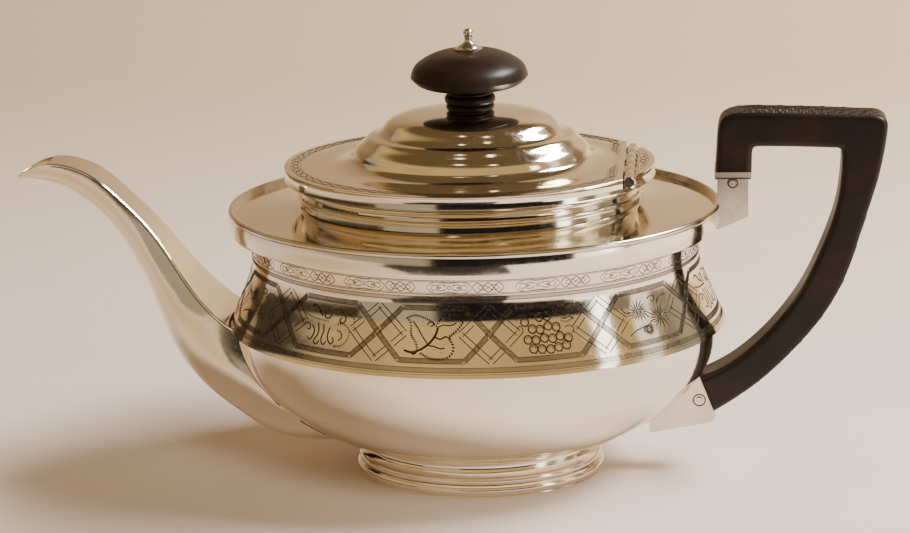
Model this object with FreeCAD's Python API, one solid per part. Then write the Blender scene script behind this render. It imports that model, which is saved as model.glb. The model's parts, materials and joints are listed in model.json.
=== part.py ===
import FreeCAD, Part

import math
import os

# Oval Georgian-pattern silver teapot with a hinged lid, in millimetres.
# +Z is up.  The origin is the centre of the foot, on the surface that the pot stands on.
# The spout points along -X, the handle and the lid hinge are on the +X side.
# Every round form is turned about Z first and then squeezed along Y, which makes it oval.

V = FreeCAD.Vector

# ---- driving dimensions ------------------------------------------------------------------

OVAL = 0.77                 # width over length of every oval form
SHEET = 1.1                 # silver sheet of the body
SOLDER_GAP = 0.2            # room for solder round the shoulder plate, at the gallery and at the neck
LID_SHEET = 1.0             # silver sheet of the lid
FIT = 0.03                  # radial clearance of pins in their holes

FOOT_A = 42.3               # half length of the foot rim
FOOT_RIM_TOP = 3.9
BOWL_BOTTOM = 11.2          # height at which the foot meets the bowl
RIDGE_Z = 52.5              # seam between the bowl and the engraved band
WAIST_TOP = 84.9            # top of the band, underside of the rim gallery
GALLERY_A = 81.3            # half length of the rim gallery
GALLERY_TOP = 91.0
RIM_WIRE_R = 1.0
SHOULDER_TOP = 94.0         # shoulder height where the neck rises from it

NECK_A = 56.3               # half length of the neck, outside
NECK_TOP = 102.0
MOUTH_A = 54.6              # half length of the mouth opening
LID_SHIFT = -1.0            # the neck and the lid flange sit slightly towards the spout
LID_A = 61.4                # half length of the lid flange
LID_TOP = 106.7             # top of the lid flange at its edge
LID_SKIRT_GAP = 0.15        # daylight under the lid skirt when the lid is shut
BEZEL_A = 53.6
BEZEL_DEPTH = 5.2
FLANGE_INNER_A = 49.0       # half length of the opening of the flat flange, filled by the dome

HINGE_X = 52.5
HINGE_R = 1.9
HINGE_Z = LID_TOP - HINGE_R
HINGE_HALF = 20.0           # half length of the knuckle row along Y
KNUCKLE_GAP = 0.12
PIN_R = 0.9
HINGE_SLIT = 0.12           # gap between the knuckles and the plates beside them

KNOB_BOTTOM = 124.0
KNOB_TOP = KNOB_BOTTOM + 20.0
BOLT_R = 1.9
WASHER = 0.8                # thickness of the washer on the knob's bolt

SPOUT_WALL = 1.0
HANDLE_HALF = 6.6           # half thickness of the wooden handle
SOCKET_PIN_R = 1.1
PIN_REACH = HANDLE_HALF + 1.3   # half length of the cross pins of the sockets

# ---- outlines, as (distance from the centre along X, height) ---------------------------------

BOWL_OUTLINE = [
    (0, 9.0), (20, 9.3), (32, 10.2), (38, BOWL_BOTTOM), (47, 13.6), (56, 17.8), (63.6, 22.6),
    (69.6, 27.6), (74.2, 32.6), (77.6, 38), (79.8, 43.5), (81.0, 48.5), (81.4, RIDGE_Z),
]
BAND_OUTLINE = [
    (82.4, RIDGE_Z), (82.4, 54.2), (82.0, 56), (81.3, 58), (80.3, 60.5), (78.6, 64), (77.0, 67), (75.9, 69.5),
    (75.1, 72), (74.6, 75), (74.7, 79), (75.5, WAIST_TOP),
]
SHOULDER_OUTLINE = [
    (GALLERY_A - SHEET - SOLDER_GAP, GALLERY_TOP), (70, 91.9), (62, 92.8), (NECK_A, SHOULDER_TOP),
]
DOME_OUTLINE = [
    (FLANGE_INNER_A, LID_TOP), (46.0, 106.9), (43.0, 107.5), (41.0, 108.3), (39.7, 109.3), (38.9, 111),
    (37.0, 113.2), (35.7, 114.3), (33.9, 116.0), (31.4, 116.8), (29.9, 117.9), (27.8, 120.3), (24, 122.3),
    (17, 123.6), (7, KNOB_BOTTOM),
]

# Spout stations from lip to root: top x, top z, bottom x, bottom z, half width at the top,
# and half width at mid depth.
SPOUT_STATIONS = [
    (-152.6, 103.4, -153.8, 101.7, 3.4, 3.3),
    (-147.8, 106.0, -147.2, 101.2, 5.2, 5.0),
    (-142.0, 107.7, -141.0, 99.9, 6.1, 5.9),
    (-132.0, 106.2, -136.2, 97.9, 6.8, 6.6),
    (-119.0, 97.0, -126.6, 90.6, 7.0, 6.9),
    (-107.0, 84.0, -116.4, 76.6, 7.9, 7.9),
    (-97.0, 69.5, -109.4, 60.6, 11.0, 10.6),
    (-88.0, 58.8, -102.6, 42.8, 14.2, 13.4),
    (-79.0, 52.2, -92.5, 29.3, 15.2, 16.2),
    (-65.0, 48.0, -79.8, 19.2, 15.5, 19.0),
    (-48.0, 40.0, -66.0, 12.6, 16.0, 24.5),
    (-36.0, 34.0, -50.0, 11.8, 16.0, 26.5),
    (-28.0, 30.0, -40.0, 14.0, 16.0, 26.0),
]
SPOUT_MOUTH = 2             # station at which the top plate starts, behind the open lip

HANDLE_OUTER = [
    (132.0, 97.8), (128.8, 87.5), (125.3, 75.0), (118.8, 59.5), (111.6, 49.0),
    (103.8, 40.2), (95.9, 32.4), (88.0, 26.3), (79.6, 21.0),
]
HANDLE_INNER = [
    (75.0, 33.0), (81.5, 36.0), (88.0, 40.4), (93.3, 45.0), (98.7, 50.7),
    (104.2, 57.8), (108.4, 64.3), (112.4, 72.8), (115.0, 79.0), (117.5, 85.8), (119.4, 92.4), (120.6, 100.0),
]
HANDLE_TOP_Z = 124.0
HANDLE_BAR_UNDER = 112.0
HANDLE_LEG = (80.3, 91.6)   # x range of the upright wooden leg
LEG_FOOT_Z = 104.0          # shoulder of the leg on its socket
LOWER_FACE = ((75.0, 33.0), (79.6, 21.0))   # upper and lower corner of the bow's sawn end
UPPER_PIN = (85.6, 100.4)   # (x, z) of the cross pins
LOWER_PIN = (74.6, 25.6)


# ---- small helpers ---------------------------------------------------------------------------

def at(point, y=0.0):
    """A 3-D point from (x, z)."""
    return V(point[0], y, point[1])


def polyline(points):
    """Straight edges through (x, z) points."""
    return [Part.makeLine(at(a), at(b)) for a, b in zip(points, points[1:])]


def smooth(points):
    """One smooth edge through (x, z) points."""
    spline = Part.BSplineCurve()
    spline.interpolate([at(point) for point in points])
    return [spline.toShape()]


def inset(points, distance):
    """The outline moved sideways, to the left of its own direction."""
    moved = []
    for i, (x, z) in enumerate(points):
        before = points[max(i - 1, 0)]
        after = points[min(i + 1, len(points) - 1)]
        dx = after[0] - before[0]
        dz = after[1] - before[1]
        length = math.hypot(dx, dz)
        moved.append((x - distance * dz / length, z + distance * dx / length))
    return moved


def face_of(edges):
    """A planar face bounded by a closed chain of edges."""
    return Part.Face(Part.Wire(Part.__sortEdges__(edges)))


def oval(shape, centre_x=0.0):
    """Squeezes a turned shape along Y and moves it along X."""
    squeeze = FreeCAD.Matrix()
    squeeze.A22 = OVAL
    squeezed = shape.transformGeometry(squeeze)
    squeezed.translate(V(centre_x, 0, 0))
    return squeezed


def turned(edges, round_form=False, centre_x=0.0):
    """A solid turned about Z from a closed profile, oval unless round_form is set."""
    solid = face_of(edges).revolve(V(0, 0, 0), V(0, 0, 1), 360)
    if round_form:
        return solid
    return oval(solid, centre_x)


def oval_prism(half_length, low, high, centre_x=0.0):
    """A plain oval disc."""
    return oval(Part.makeCylinder(half_length, high - low, V(0, 0, low)), centre_x)


def box(x_range, y_range, z_range):
    """A box from its three ranges."""
    size = [high - low for low, high in (x_range, y_range, z_range)]
    return Part.makeBox(*size, V(x_range[0], y_range[0], z_range[0]))


def slab(points, half_width):
    """An (x, z) polygon extruded symmetrically along Y."""
    face = face_of(polyline(points + points[:1]))
    face.translate(V(0, -half_width, 0))
    return face.extrude(V(0, 2 * half_width, 0))


def rod(radius, start, direction, length):
    """A cylinder from a start point along a direction."""
    return Part.makeCylinder(radius, length, start, direction)


# ---- foot and body ---------------------------------------------------------------------------

def body_envelope():
    """The filled outside form of the bowl, the band and the gallery, used to trim neighbours."""
    rim_top = GALLERY_TOP + 2 * RIM_WIRE_R
    edges = smooth(BOWL_OUTLINE)
    edges += polyline([BOWL_OUTLINE[-1], BAND_OUTLINE[0]])
    edges += smooth(BAND_OUTLINE)
    edges += polyline([
        BAND_OUTLINE[-1], (GALLERY_A - 0.2, WAIST_TOP), (GALLERY_A, GALLERY_TOP),
        (GALLERY_A, rim_top), (0, rim_top), BOWL_OUTLINE[0],
    ])
    return turned(edges)


def foot_rim():
    """Base rim of the foot: a stout oval wire, sawn off level underneath so that it stands flat."""
    inner_a = FOOT_A - 3.6
    spare = 1.0
    arc = Part.Arc(at((FOOT_A - 0.5, 0)), at((FOOT_A, 1.9)), at((FOOT_A - 0.7, FOOT_RIM_TOP))).toShape()
    edges = [arc]
    edges += polyline([
        (FOOT_A - 0.7, FOOT_RIM_TOP), (inner_a, FOOT_RIM_TOP), (inner_a, -spare), (FOOT_A - 0.5, -spare),
        (FOOT_A - 0.5, 0),
    ])
    plan = 2 * FOOT_A
    return turned(edges).cut(box((-plan, plan), (-plan, plan), (-2 * spare, 0)))


def foot_ring():
    """Raised foot: one bead, then a hollow neck that rises to the bowl."""
    bead = [(FOOT_A - 1.9, FOOT_RIM_TOP), (FOOT_A - 0.9, 5.1), (FOOT_A - 1.7, 6.3)]
    neck = [(FOOT_A - 2.2, 6.5), (38.6, 8.2), (38.0, 9.8), (38.6, 11.9)]
    inner_low = (FOOT_A - 3.6, FOOT_RIM_TOP)
    inner_high = (36.6, 12.4)
    edges = [Part.Arc(*[at(point) for point in bead]).toShape()]
    edges += polyline([bead[-1], neck[0]])
    edges += smooth(neck)
    edges += polyline([neck[-1], inner_high, inner_low, bead[0]])
    return turned(edges).cut(bowl_fill())


def bowl_fill():
    """The bowl's outside form, filled."""
    edges = smooth(BOWL_OUTLINE)
    edges += polyline([BOWL_OUTLINE[-1], (0, RIDGE_Z), BOWL_OUTLINE[0]])
    return turned(edges)


def strainer_holes():
    """Drills for the pierced strainer behind the spout: five rows in a diamond pattern."""
    hole_r = 1.3
    pitch = 5.2
    row_step = 4.5
    middle_z = 36.0
    rows = [(0, 5), (1, 4), (-1, 4), (2, 3), (-2, 3)]
    drills = []
    for row, count in rows:
        for i in range(count):
            y = (i - (count - 1) / 2) * pitch
            z = middle_z + row * row_step
            drills.append(rod(hole_r, V(-90, y, z), V(1, 0, 0), 40))
    return Part.makeCompound(drills)


def lower_bowl():
    """Raised lower bowl, closed at the bottom and pierced behind the spout."""
    inside = inset(BOWL_OUTLINE, SHEET)
    inside[0] = (0, BOWL_OUTLINE[0][1] + SHEET)
    inside[-1] = (BOWL_OUTLINE[-1][0] - SHEET, RIDGE_Z)
    edges = smooth(inside) + polyline([inside[-1], (0, RIDGE_Z), inside[0]])
    return bowl_fill().cut(turned(edges)).cut(strainer_holes())


def waist_band():
    """Incurved engraved band between the ridge and the rim gallery."""
    inside = inset(BAND_OUTLINE, SHEET)
    inside[0] = (BOWL_OUTLINE[-1][0] - SHEET, RIDGE_Z)
    inside[-1] = (BAND_OUTLINE[-1][0] - SHEET, WAIST_TOP)
    edges = smooth(BAND_OUTLINE) + smooth(inside)
    edges += polyline([BAND_OUTLINE[0], inside[0]])
    edges += polyline([BAND_OUTLINE[-1], inside[-1]])
    return turned(edges)


def rim_gallery():
    """Upright gallery wall with a ledge that turns in over the waist."""
    foot_a = GALLERY_A - 0.2
    points = [
        (foot_a, WAIST_TOP), (GALLERY_A, GALLERY_TOP), (GALLERY_A - SHEET, GALLERY_TOP),
        (foot_a - SHEET, WAIST_TOP + SHEET), (BAND_OUTLINE[-1][0] - SHEET, WAIST_TOP + SHEET),
        (BAND_OUTLINE[-1][0] - SHEET, WAIST_TOP),
    ]
    return turned(polyline(points + points[:1]))


def rim_wire():
    """Half-round wire soldered along the top of the gallery, flat towards the shoulder."""
    low = (GALLERY_A + 0.1, GALLERY_TOP)
    middle = (GALLERY_A + 0.3, GALLERY_TOP + RIM_WIRE_R)
    high = (GALLERY_A - SHEET, GALLERY_TOP + 2 * RIM_WIRE_R)
    arc = Part.Arc(at(low), at(middle), at(high)).toShape()
    return turned([arc] + polyline([high, (GALLERY_A - SHEET, GALLERY_TOP), low]))


def shoulder_plate():
    """Slightly domed shoulder with the mouth opening in it."""
    outline = SHOULDER_OUTLINE
    edges = smooth(outline) + smooth([(x, z - SHEET) for x, z in outline])
    edges += polyline([outline[0], (outline[0][0], outline[0][1] - SHEET)])
    edges += polyline([outline[-1], (outline[-1][0], outline[-1][1] - SHEET)])
    plate = turned(edges)
    return plate.cut(oval_prism(NECK_A + SOLDER_GAP, SHOULDER_TOP - 9, SHOULDER_TOP + 3, LID_SHIFT))


def mouth_collar():
    """Neck of the mouth: a hollow moulding with two fine beads, flared out to carry the lid edge."""
    low = SHOULDER_TOP - 2 * SHEET
    outside = [
        (NECK_A, low), (NECK_A, 95.6), (NECK_A + 0.9, 96.5), (NECK_A + 0.1, 97.4), (NECK_A - 0.3, 98.6),
        (NECK_A + 0.3, 99.6), (NECK_A + 1.5, 100.4), (NECK_A + 1.7, NECK_TOP),
    ]
    edges = polyline(outside + [(MOUTH_A, NECK_TOP), (MOUTH_A, low), outside[0]])
    return turned(edges, centre_x=LID_SHIFT)


# ---- spout -----------------------------------------------------------------------------------

def spout_section(station, wall=0.0, rise=0.0):
    """Closed U-shaped section of the spout: straight across the top, round below."""
    top = at(station[0:2])
    bottom = at(station[2:4])
    down = (bottom - top).normalize()
    depth = (bottom - top).Length - wall
    top_half = station[4] - wall
    mid_half = station[5] - wall
    shape = [(top_half, -rise), (mid_half, 0.45 * depth), (0.74 * mid_half, 0.82 * depth), (0, depth)]
    side = [V(0, half, 0) + top + down * fall for half, fall in shape]
    other = [V(0, -half, 0) + top + down * fall for half, fall in reversed(shape[:-1])]
    trough = Part.BSplineCurve()
    trough.interpolate(side + other)
    return Part.Wire([trough.toShape(), Part.makeLine(other[-1], side[0])])


def spout_solid(wall=0.0, rise=0.0):
    """Loft through every station, shrunk by the wall and raised above the top by rise."""
    return Part.makeLoft([spout_section(station, wall, rise) for station in SPOUT_STATIONS], True)


def spout_plate_zone():
    """The layer that the top plate fills: one wall deep, from the mouth of the spout to its root."""
    half_width = 30
    low_side = [(station[0], station[1]) for station in SPOUT_STATIONS[SPOUT_MOUTH:]]
    high = [(x, z + 4) for x, z in low_side]
    low = inset(low_side, -SPOUT_WALL)
    edges = smooth(high) + smooth(low)
    edges += polyline([high[0], low[0]])
    edges += polyline([high[-1], low[-1]])
    zone = face_of(edges)
    zone.translate(V(0, -half_width, 0))
    return zone.extrude(V(0, 2 * half_width, 0))


def spout_parts(envelope):
    """The spout's trough and the flat plate soldered over it, both trimmed to the body."""
    outside = spout_solid().cut(envelope)
    zone = spout_plate_zone()
    plate = largest(outside.common(zone))
    trough = largest(outside.cut(spout_solid(SPOUT_WALL, 2.5)).cut(zone))
    return trough, plate


def largest(shape):
    """The biggest solid of a result that may have crumbs."""
    return max(shape.Solids, key=lambda solid: solid.Volume)


# ---- lid and hinge -----------------------------------------------------------------------------

def lid_plan_cut(limit):
    """Everything on the hinge side of a vertical plane."""
    return box((limit, 100), (-80, 80), (90, 140))


def flange_ring():
    """The whole flange plate, before the hinge divides it."""
    plate = oval_prism(LID_A, LID_TOP - LID_SHEET, LID_TOP, LID_SHIFT)
    return plate.cut(oval_prism(FLANGE_INNER_A, LID_TOP - 9, LID_TOP + 9))


def skirt_ring():
    """The whole turned-down edge of the flange."""
    low = NECK_TOP + LID_SKIRT_GAP
    ring = oval_prism(LID_A, low, LID_TOP - LID_SHEET, LID_SHIFT)
    return ring.cut(oval_prism(LID_A - 1.2, low - 1, LID_TOP, LID_SHIFT))


def lid_flange():
    """Flat flange of the lid, cut straight where the hinge runs."""
    return flange_ring().cut(lid_plan_cut(HINGE_X - HINGE_R - HINGE_SLIT))


def lid_skirt():
    """Turned-down edge of the lid."""
    return skirt_ring().cut(lid_plan_cut(HINGE_X - HINGE_R - HINGE_SLIT))


def lid_bezel():
    """Inner locating rim of the lid, straight across in front of the hinge."""
    high = LID_TOP - LID_SHEET
    front = HINGE_X - HINGE_R - 1.6
    outside = oval_prism(BEZEL_A, high - BEZEL_DEPTH, high, LID_SHIFT).cut(lid_plan_cut(front))
    hollow = oval_prism(BEZEL_A - LID_SHEET, high - 9, high + 1, LID_SHIFT)
    return outside.cut(hollow.cut(lid_plan_cut(front - LID_SHEET)))


def lid_dome():
    """Two-stage dome of the lid: a cove, a swelling ring and the upper dome."""
    under = inset(DOME_OUTLINE, LID_SHEET)
    under[0] = (FLANGE_INNER_A, LID_TOP - LID_SHEET)
    under[-1] = (DOME_OUTLINE[-1][0], KNOB_BOTTOM - LID_SHEET)
    edges = smooth(DOME_OUTLINE) + smooth(under)
    edges += polyline([DOME_OUTLINE[0], under[0]])
    edges += polyline([DOME_OUTLINE[-1], (0, KNOB_BOTTOM), (0, KNOB_BOTTOM - LID_SHEET), under[-1]])
    return turned(edges).cut(rod(BOLT_R + FIT, V(0, 0, 110), V(0, 0, 1), 20))


def hinge_plate():
    """Fixed end of the flange beyond the hinge, standing on the neck and hollow underneath.

    Its upper front edge is chamfered, so that the lid's edge clears it when the lid is thrown back.
    """
    start = HINGE_X + HINGE_R + HINGE_SLIT
    front_wall = 1.2
    back_wall = 2.4
    side_wall = 2.0
    keep = box((start, 90), (-80, 80), (NECK_TOP, 120))
    block = oval_prism(LID_A, NECK_TOP, LID_TOP, LID_SHIFT).common(keep)
    reach = HINGE_HALF - side_wall
    hollow_x = (start + front_wall, LID_A + LID_SHIFT - back_wall)
    hollow = box(hollow_x, (-reach, reach), (NECK_TOP - 1, LID_TOP - LID_SHEET))
    chamfer = slab([(start - 1, LID_TOP + 1), (start - 1, LID_TOP - 1.8), (start + 1.8, LID_TOP + 1)], 80)
    return block.cut(hollow).cut(chamfer)


def knuckles(indexes, leaf):
    """Hinge knuckles of one side, each with its leaf, drilled for the pin."""
    count = 5
    pitch = 2 * HINGE_HALF / count
    solids = []
    for i in indexes:
        start = -HINGE_HALF + i * pitch + KNUCKLE_GAP / 2
        length = pitch - KNUCKLE_GAP
        barrel = rod(HINGE_R, V(HINGE_X, start, HINGE_Z), V(0, 1, 0), length)
        leaf_x, leaf_z = leaf
        knuckle = barrel.fuse(box(leaf_x, (start, start + length), leaf_z)).removeSplitter()
        bore = rod(PIN_R + FIT, V(HINGE_X, start - 1, HINGE_Z), V(0, 1, 0), length + 2)
        solids.append(knuckle.cut(bore))
    return Part.makeCompound(solids)


def hinge_knuckles_fixed():
    """Three knuckles whose leaves run under the fixed plate."""
    leaf = ((HINGE_X, HINGE_X + HINGE_R + HINGE_SLIT), (HINGE_Z - HINGE_R, HINGE_Z))
    return knuckles([0, 2, 4], leaf)


def hinge_knuckles_moving():
    """Two knuckles whose leaves reach the lid flange."""
    leaf = ((HINGE_X - HINGE_R - 1.5, HINGE_X), (HINGE_Z - HINGE_R, LID_TOP - LID_SHEET))
    return knuckles([1, 3], leaf)


def hinge_pin():
    """Pin through all five knuckles."""
    return rod(PIN_R, V(HINGE_X, -HINGE_HALF, HINGE_Z), V(0, 1, 0), 2 * HINGE_HALF)


# ---- knob --------------------------------------------------------------------------------------

def knob():
    """Turned wooden knob: a ringed stem under a broad button."""
    base = KNOB_BOTTOM
    outline = [
        (0, base), (7.3, base), (7.9, base + 0.8), (7.9, base + 1.9), (7.5, base + 2.3), (8.4, base + 3.2),
        (8.4, base + 4.6), (7.3, base + 5.2), (7.3, base + 6.0), (5.6, base + 6.8), (5.5, base + 7.8),
    ]
    button = [(5.5, base + 7.8), (12.5, base + 8.1), (17.6, base + 9.4), (19.3, base + 11.4)]
    crown = [(19.3, base + 11.4), (18.3, base + 14.2), (15.0, base + 17.0), (9.5, base + 19.3), (4.6, KNOB_TOP)]
    edges = polyline(outline) + smooth(button) + smooth(crown)
    edges += polyline([crown[-1], (0, crown[-1][1]), (0, base)])
    solid = turned(edges, round_form=True)
    return solid.cut(rod(BOLT_R + FIT, V(0, 0, base - 1), V(0, 0, 1), 30))


def finial():
    """Silver cap on the knob: a moulded disc, a thin neck and a ball."""
    base = KNOB_TOP
    outline = [
        (0, base), (4.5, base), (4.5, base + 0.7), (3.4, base + 1.3), (1.9, base + 2.4), (1.1, base + 3.3),
        (1.1, base + 3.9),
    ]
    ball = Part.Arc(at((1.1, base + 3.9)), at((1.8, base + 5.4)), at((0.9, base + 6.8))).toShape()
    tip = [(0.9, base + 6.8), (0.4, base + 7.1), (0, base + 7.1), (0, base)]
    return turned(polyline(outline) + [ball] + polyline(tip), round_form=True)


def knob_bolt():
    """Threaded rod under the finial, through the knob and the lid."""
    length = 29.0
    return rod(BOLT_R, V(0, 0, KNOB_TOP - length), V(0, 0, 1), length)


def knob_washer():
    """Washer under the crown of the dome."""
    top = KNOB_BOTTOM - LID_SHEET
    ring = rod(5.0, V(0, 0, top - WASHER), V(0, 0, 1), WASHER)
    return ring.cut(rod(BOLT_R + FIT, V(0, 0, top - 3), V(0, 0, 1), 6))


def knob_nut():
    """Hexagonal nut on the bolt, inside the lid."""
    across = 7.0
    height = 3.2
    top = KNOB_BOTTOM - LID_SHEET - WASHER
    radius = across / math.sqrt(3)
    angles = [math.radians(60 * i) for i in range(7)]
    corners = [V(radius * math.cos(angle), radius * math.sin(angle), top - height) for angle in angles]
    prism = Part.Face(Part.makePolygon(corners)).extrude(V(0, 0, height))
    return prism.cut(rod(BOLT_R + FIT, V(0, 0, top - 5), V(0, 0, 1), 8))


# ---- handle and its sockets ----------------------------------------------------------------------

def handle_blank():
    """Wooden handle without its tenons: upright leg, top bar and one long bow."""
    left, leg_inner = HANDLE_LEG
    top = HANDLE_TOP_Z
    under = HANDLE_BAR_UNDER
    round_top = [
        Part.makeLine(at((left, LEG_FOOT_Z)), at((left + 0.8, top - 5.5))),
        Part.Arc(at((left + 0.8, top - 5.5)), at((left + 2.0, top - 2.2)), at((left + 5.0, top - 0.9))).toShape(),
        Part.makeLine(at((left + 5.0, top - 0.9)), at((left + 15, top))),
        Part.makeLine(at((left + 15, top)), at((130.5, top - 1.8))),
        Part.Arc(at((130.5, top - 1.8)), at((134.4, top - 3.5)), at((135.4, top - 7.0))).toShape(),
        Part.makeLine(at((135.4, top - 7.0)), at(HANDLE_OUTER[0])),
    ]
    inside_corner = Part.Arc(at((120.6, under - 3.6)), at((119.9, under - 1.2)), at((117.6, under - 0.4))).toShape()
    leg_corner = Part.Arc(at((leg_inner + 3.4, under)), at((leg_inner + 1.1, under - 0.9)),
                          at((leg_inner + 0.2, under - 3.2))).toShape()
    edges = round_top + smooth(HANDLE_OUTER) + polyline([HANDLE_OUTER[-1], HANDLE_INNER[0]])
    edges += smooth(HANDLE_INNER)
    edges += [Part.makeLine(at(HANDLE_INNER[-1]), at((120.6, under - 3.6))), inside_corner]
    edges += [Part.makeLine(at((117.6, under - 0.4)), at((leg_inner + 3.4, under))), leg_corner]
    edges += polyline([(leg_inner + 0.2, under - 3.2), (leg_inner, LEG_FOOT_Z), (left, LEG_FOOT_Z)])
    face = face_of(edges)
    face.translate(V(0, -HANDLE_HALF, 0))
    return face.extrude(V(0, 2 * HANDLE_HALF, 0))


def upper_tenon(clearance=0.0):
    """Wooden tongue that drops into the upper socket."""
    left, right = HANDLE_LEG
    step = 2.2 - clearance
    reach = HANDLE_HALF - step
    return box((left + step, right - step), (-reach, reach), (91.5 - clearance, LEG_FOOT_Z))


def lower_tenon(clearance=0.0):
    """Wooden tongue that enters the lower socket, square to the end of the bow."""
    (x_high, z_high), (x_low, z_low) = LOWER_FACE
    along_x = x_low - x_high
    along_z = z_low - z_high
    length = math.hypot(along_x, along_z)
    ux, uz = along_x / length, along_z / length
    nx, nz = uz, -ux
    depth = 5.0 + clearance
    start = 2.4 - clearance
    end = length - start
    corners = [
        (x_high + ux * start, z_high + uz * start), (x_high + ux * end, z_high + uz * end),
        (x_high + ux * end + nx * depth, z_high + uz * end + nz * depth),
        (x_high + ux * start + nx * depth, z_high + uz * start + nz * depth),
    ]
    return slab(corners, HANDLE_HALF - 2.0 + clearance)


def socket_pin(place):
    """Cross pin along Y at an (x, z) place."""
    return rod(SOCKET_PIN_R, at(place, -PIN_REACH), V(0, 1, 0), 2 * PIN_REACH)


def pin_holes():
    """Drills for both cross pins, longer than the pins."""
    reach = 2 * PIN_REACH
    drills = [rod(SOCKET_PIN_R + FIT, at(place, -reach), V(0, 1, 0), 2 * reach) for place in (UPPER_PIN, LOWER_PIN)]
    return Part.makeCompound(drills)


def handle():
    """Wooden handle with its two tenons, drilled for the cross pins."""
    solid = handle_blank().fuse([upper_tenon(), lower_tenon()]).removeSplitter()
    return solid.cut(pin_holes())


def upper_socket(envelope, wire):
    """Square silver box that carries the handle's leg, standing against the rim."""
    left, right = HANDLE_LEG
    points = [
        (left + 0.3, LEG_FOOT_Z), (left + 0.3, 84.4), (right - 0.9, 88.8), (right - 0.9, LEG_FOOT_Z),
    ]
    solid = slab(points, HANDLE_HALF - 0.3).cut(upper_tenon(FIT)).cut(envelope).cut(wire)
    return largest(solid.cut(pin_holes()))


def upper_socket_band():
    """Moulded band round the top of the upper socket, dropping to a point over the pin."""
    left, right = HANDLE_LEG
    middle = (left + right) / 2
    outer = [
        (left - 0.5, LEG_FOOT_Z), (left - 0.5, LEG_FOOT_Z - 2.4), (middle - 2.0, LEG_FOOT_Z - 3.2),
        (middle - 0.3, LEG_FOOT_Z - 5.4), (middle + 1.4, LEG_FOOT_Z - 3.2), (right + 0.1, LEG_FOOT_Z - 2.4),
        (right + 0.1, LEG_FOOT_Z),
    ]
    band = slab(outer, HANDLE_HALF + 0.5)
    core = box((left + 0.3, right - 0.9), (-HANDLE_HALF + 0.3, HANDLE_HALF - 0.3), (80, LEG_FOOT_Z + 1))
    return band.cut(core).cut(pin_holes())


def lower_socket(envelope):
    """Silver horn that rises from the bowl and holds the lower end of the bow."""
    (x_high, z_high), (x_low, z_low) = LOWER_FACE
    points = [
        (x_high - 0.4, z_high + 1.0), (x_low + 0.4, z_low - 1.0), (79.0, 18.0), (72.0, 16.4), (58.0, 14.0),
        (58.0, 26.0), (70.0, 32.0),
    ]
    solid = slab(points, HANDLE_HALF + 0.5).cut(lower_tenon(FIT)).cut(envelope).cut(handle_blank())
    return largest(solid.cut(pin_holes()))


# ---- assembly --------------------------------------------------------------------------------------

def build():
    """Every node of the teapot by name."""
    envelope = body_envelope()
    wire = rim_wire()
    trough, plate = spout_parts(envelope)
    return {
        "foot_rim": foot_rim(),
        "foot_ring": foot_ring(),
        "lower_bowl": lower_bowl(),
        "waist_band": waist_band(),
        "rim_gallery": rim_gallery(),
        "rim_wire": wire,
        "shoulder_plate": shoulder_plate(),
        "mouth_collar": mouth_collar(),
        "spout_trough": trough,
        "spout_top_plate": plate,
        "lid_flange": lid_flange(),
        "lid_skirt": lid_skirt(),
        "lid_bezel": lid_bezel(),
        "lid_dome": lid_dome(),
        "hinge_plate": hinge_plate(),
        "hinge_knuckles_fixed": hinge_knuckles_fixed(),
        "hinge_knuckles_moving": hinge_knuckles_moving(),
        "hinge_pin": hinge_pin(),
        "knob": knob(),
        "finial": finial(),
        "knob_bolt": knob_bolt(),
        "knob_washer": knob_washer(),
        "knob_nut": knob_nut(),
        "handle": handle(),
        "upper_socket": upper_socket(envelope, wire),
        "upper_socket_band": upper_socket_band(),
        "lower_socket": lower_socket(envelope),
        "upper_socket_pin": socket_pin(UPPER_PIN),
        "lower_socket_pin": socket_pin(LOWER_PIN),
    }


os.makedirs("parts", exist_ok=True)
for node, shape in build().items():
    shape.exportStep("parts/" + node + ".step")
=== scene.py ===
from contextlib import contextmanager
import json
import math

import bmesh
import bpy
import numpy as np
from mathutils import Matrix, Vector


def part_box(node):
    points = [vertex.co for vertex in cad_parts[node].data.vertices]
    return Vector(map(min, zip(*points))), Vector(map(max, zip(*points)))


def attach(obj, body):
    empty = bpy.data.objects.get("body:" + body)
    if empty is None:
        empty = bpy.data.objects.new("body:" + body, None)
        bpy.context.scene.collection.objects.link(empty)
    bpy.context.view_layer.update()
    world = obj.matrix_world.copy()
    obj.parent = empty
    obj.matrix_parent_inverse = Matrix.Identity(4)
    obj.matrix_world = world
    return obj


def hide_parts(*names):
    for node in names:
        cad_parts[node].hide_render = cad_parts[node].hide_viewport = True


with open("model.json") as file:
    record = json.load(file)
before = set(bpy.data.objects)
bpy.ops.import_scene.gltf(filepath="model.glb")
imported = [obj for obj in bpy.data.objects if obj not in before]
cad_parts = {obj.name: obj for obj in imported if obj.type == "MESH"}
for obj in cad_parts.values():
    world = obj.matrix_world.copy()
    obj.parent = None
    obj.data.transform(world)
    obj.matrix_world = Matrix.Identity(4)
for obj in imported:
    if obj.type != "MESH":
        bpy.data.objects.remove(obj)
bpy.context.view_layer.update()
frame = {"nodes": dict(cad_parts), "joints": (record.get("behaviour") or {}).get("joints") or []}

# Looks of an oval silver teapot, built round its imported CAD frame.
# Shapes are worked out in millimetres in the frame's axes: -X spout, +X handle, +Z up.
# Every round silver part is a turned profile squeezed along Y, as in the CAD.

MM = 0.001
SHEET = 1.1                      # silver of the body
LID_SHEET = 1.0                  # silver of the lid and spout
SMOOTH_ANGLE = math.radians(34)
ROUND = 288                      # segments round an oval form
FINE_ROUND = 384                 # the same where engraving lies on it


def mm_box(node):
    """Lowest and highest corner of a CAD node in millimetres."""
    low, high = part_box(node)
    return np.array(low) / MM, np.array(high) / MM


# ---- sizes taken from the frame ----

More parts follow.
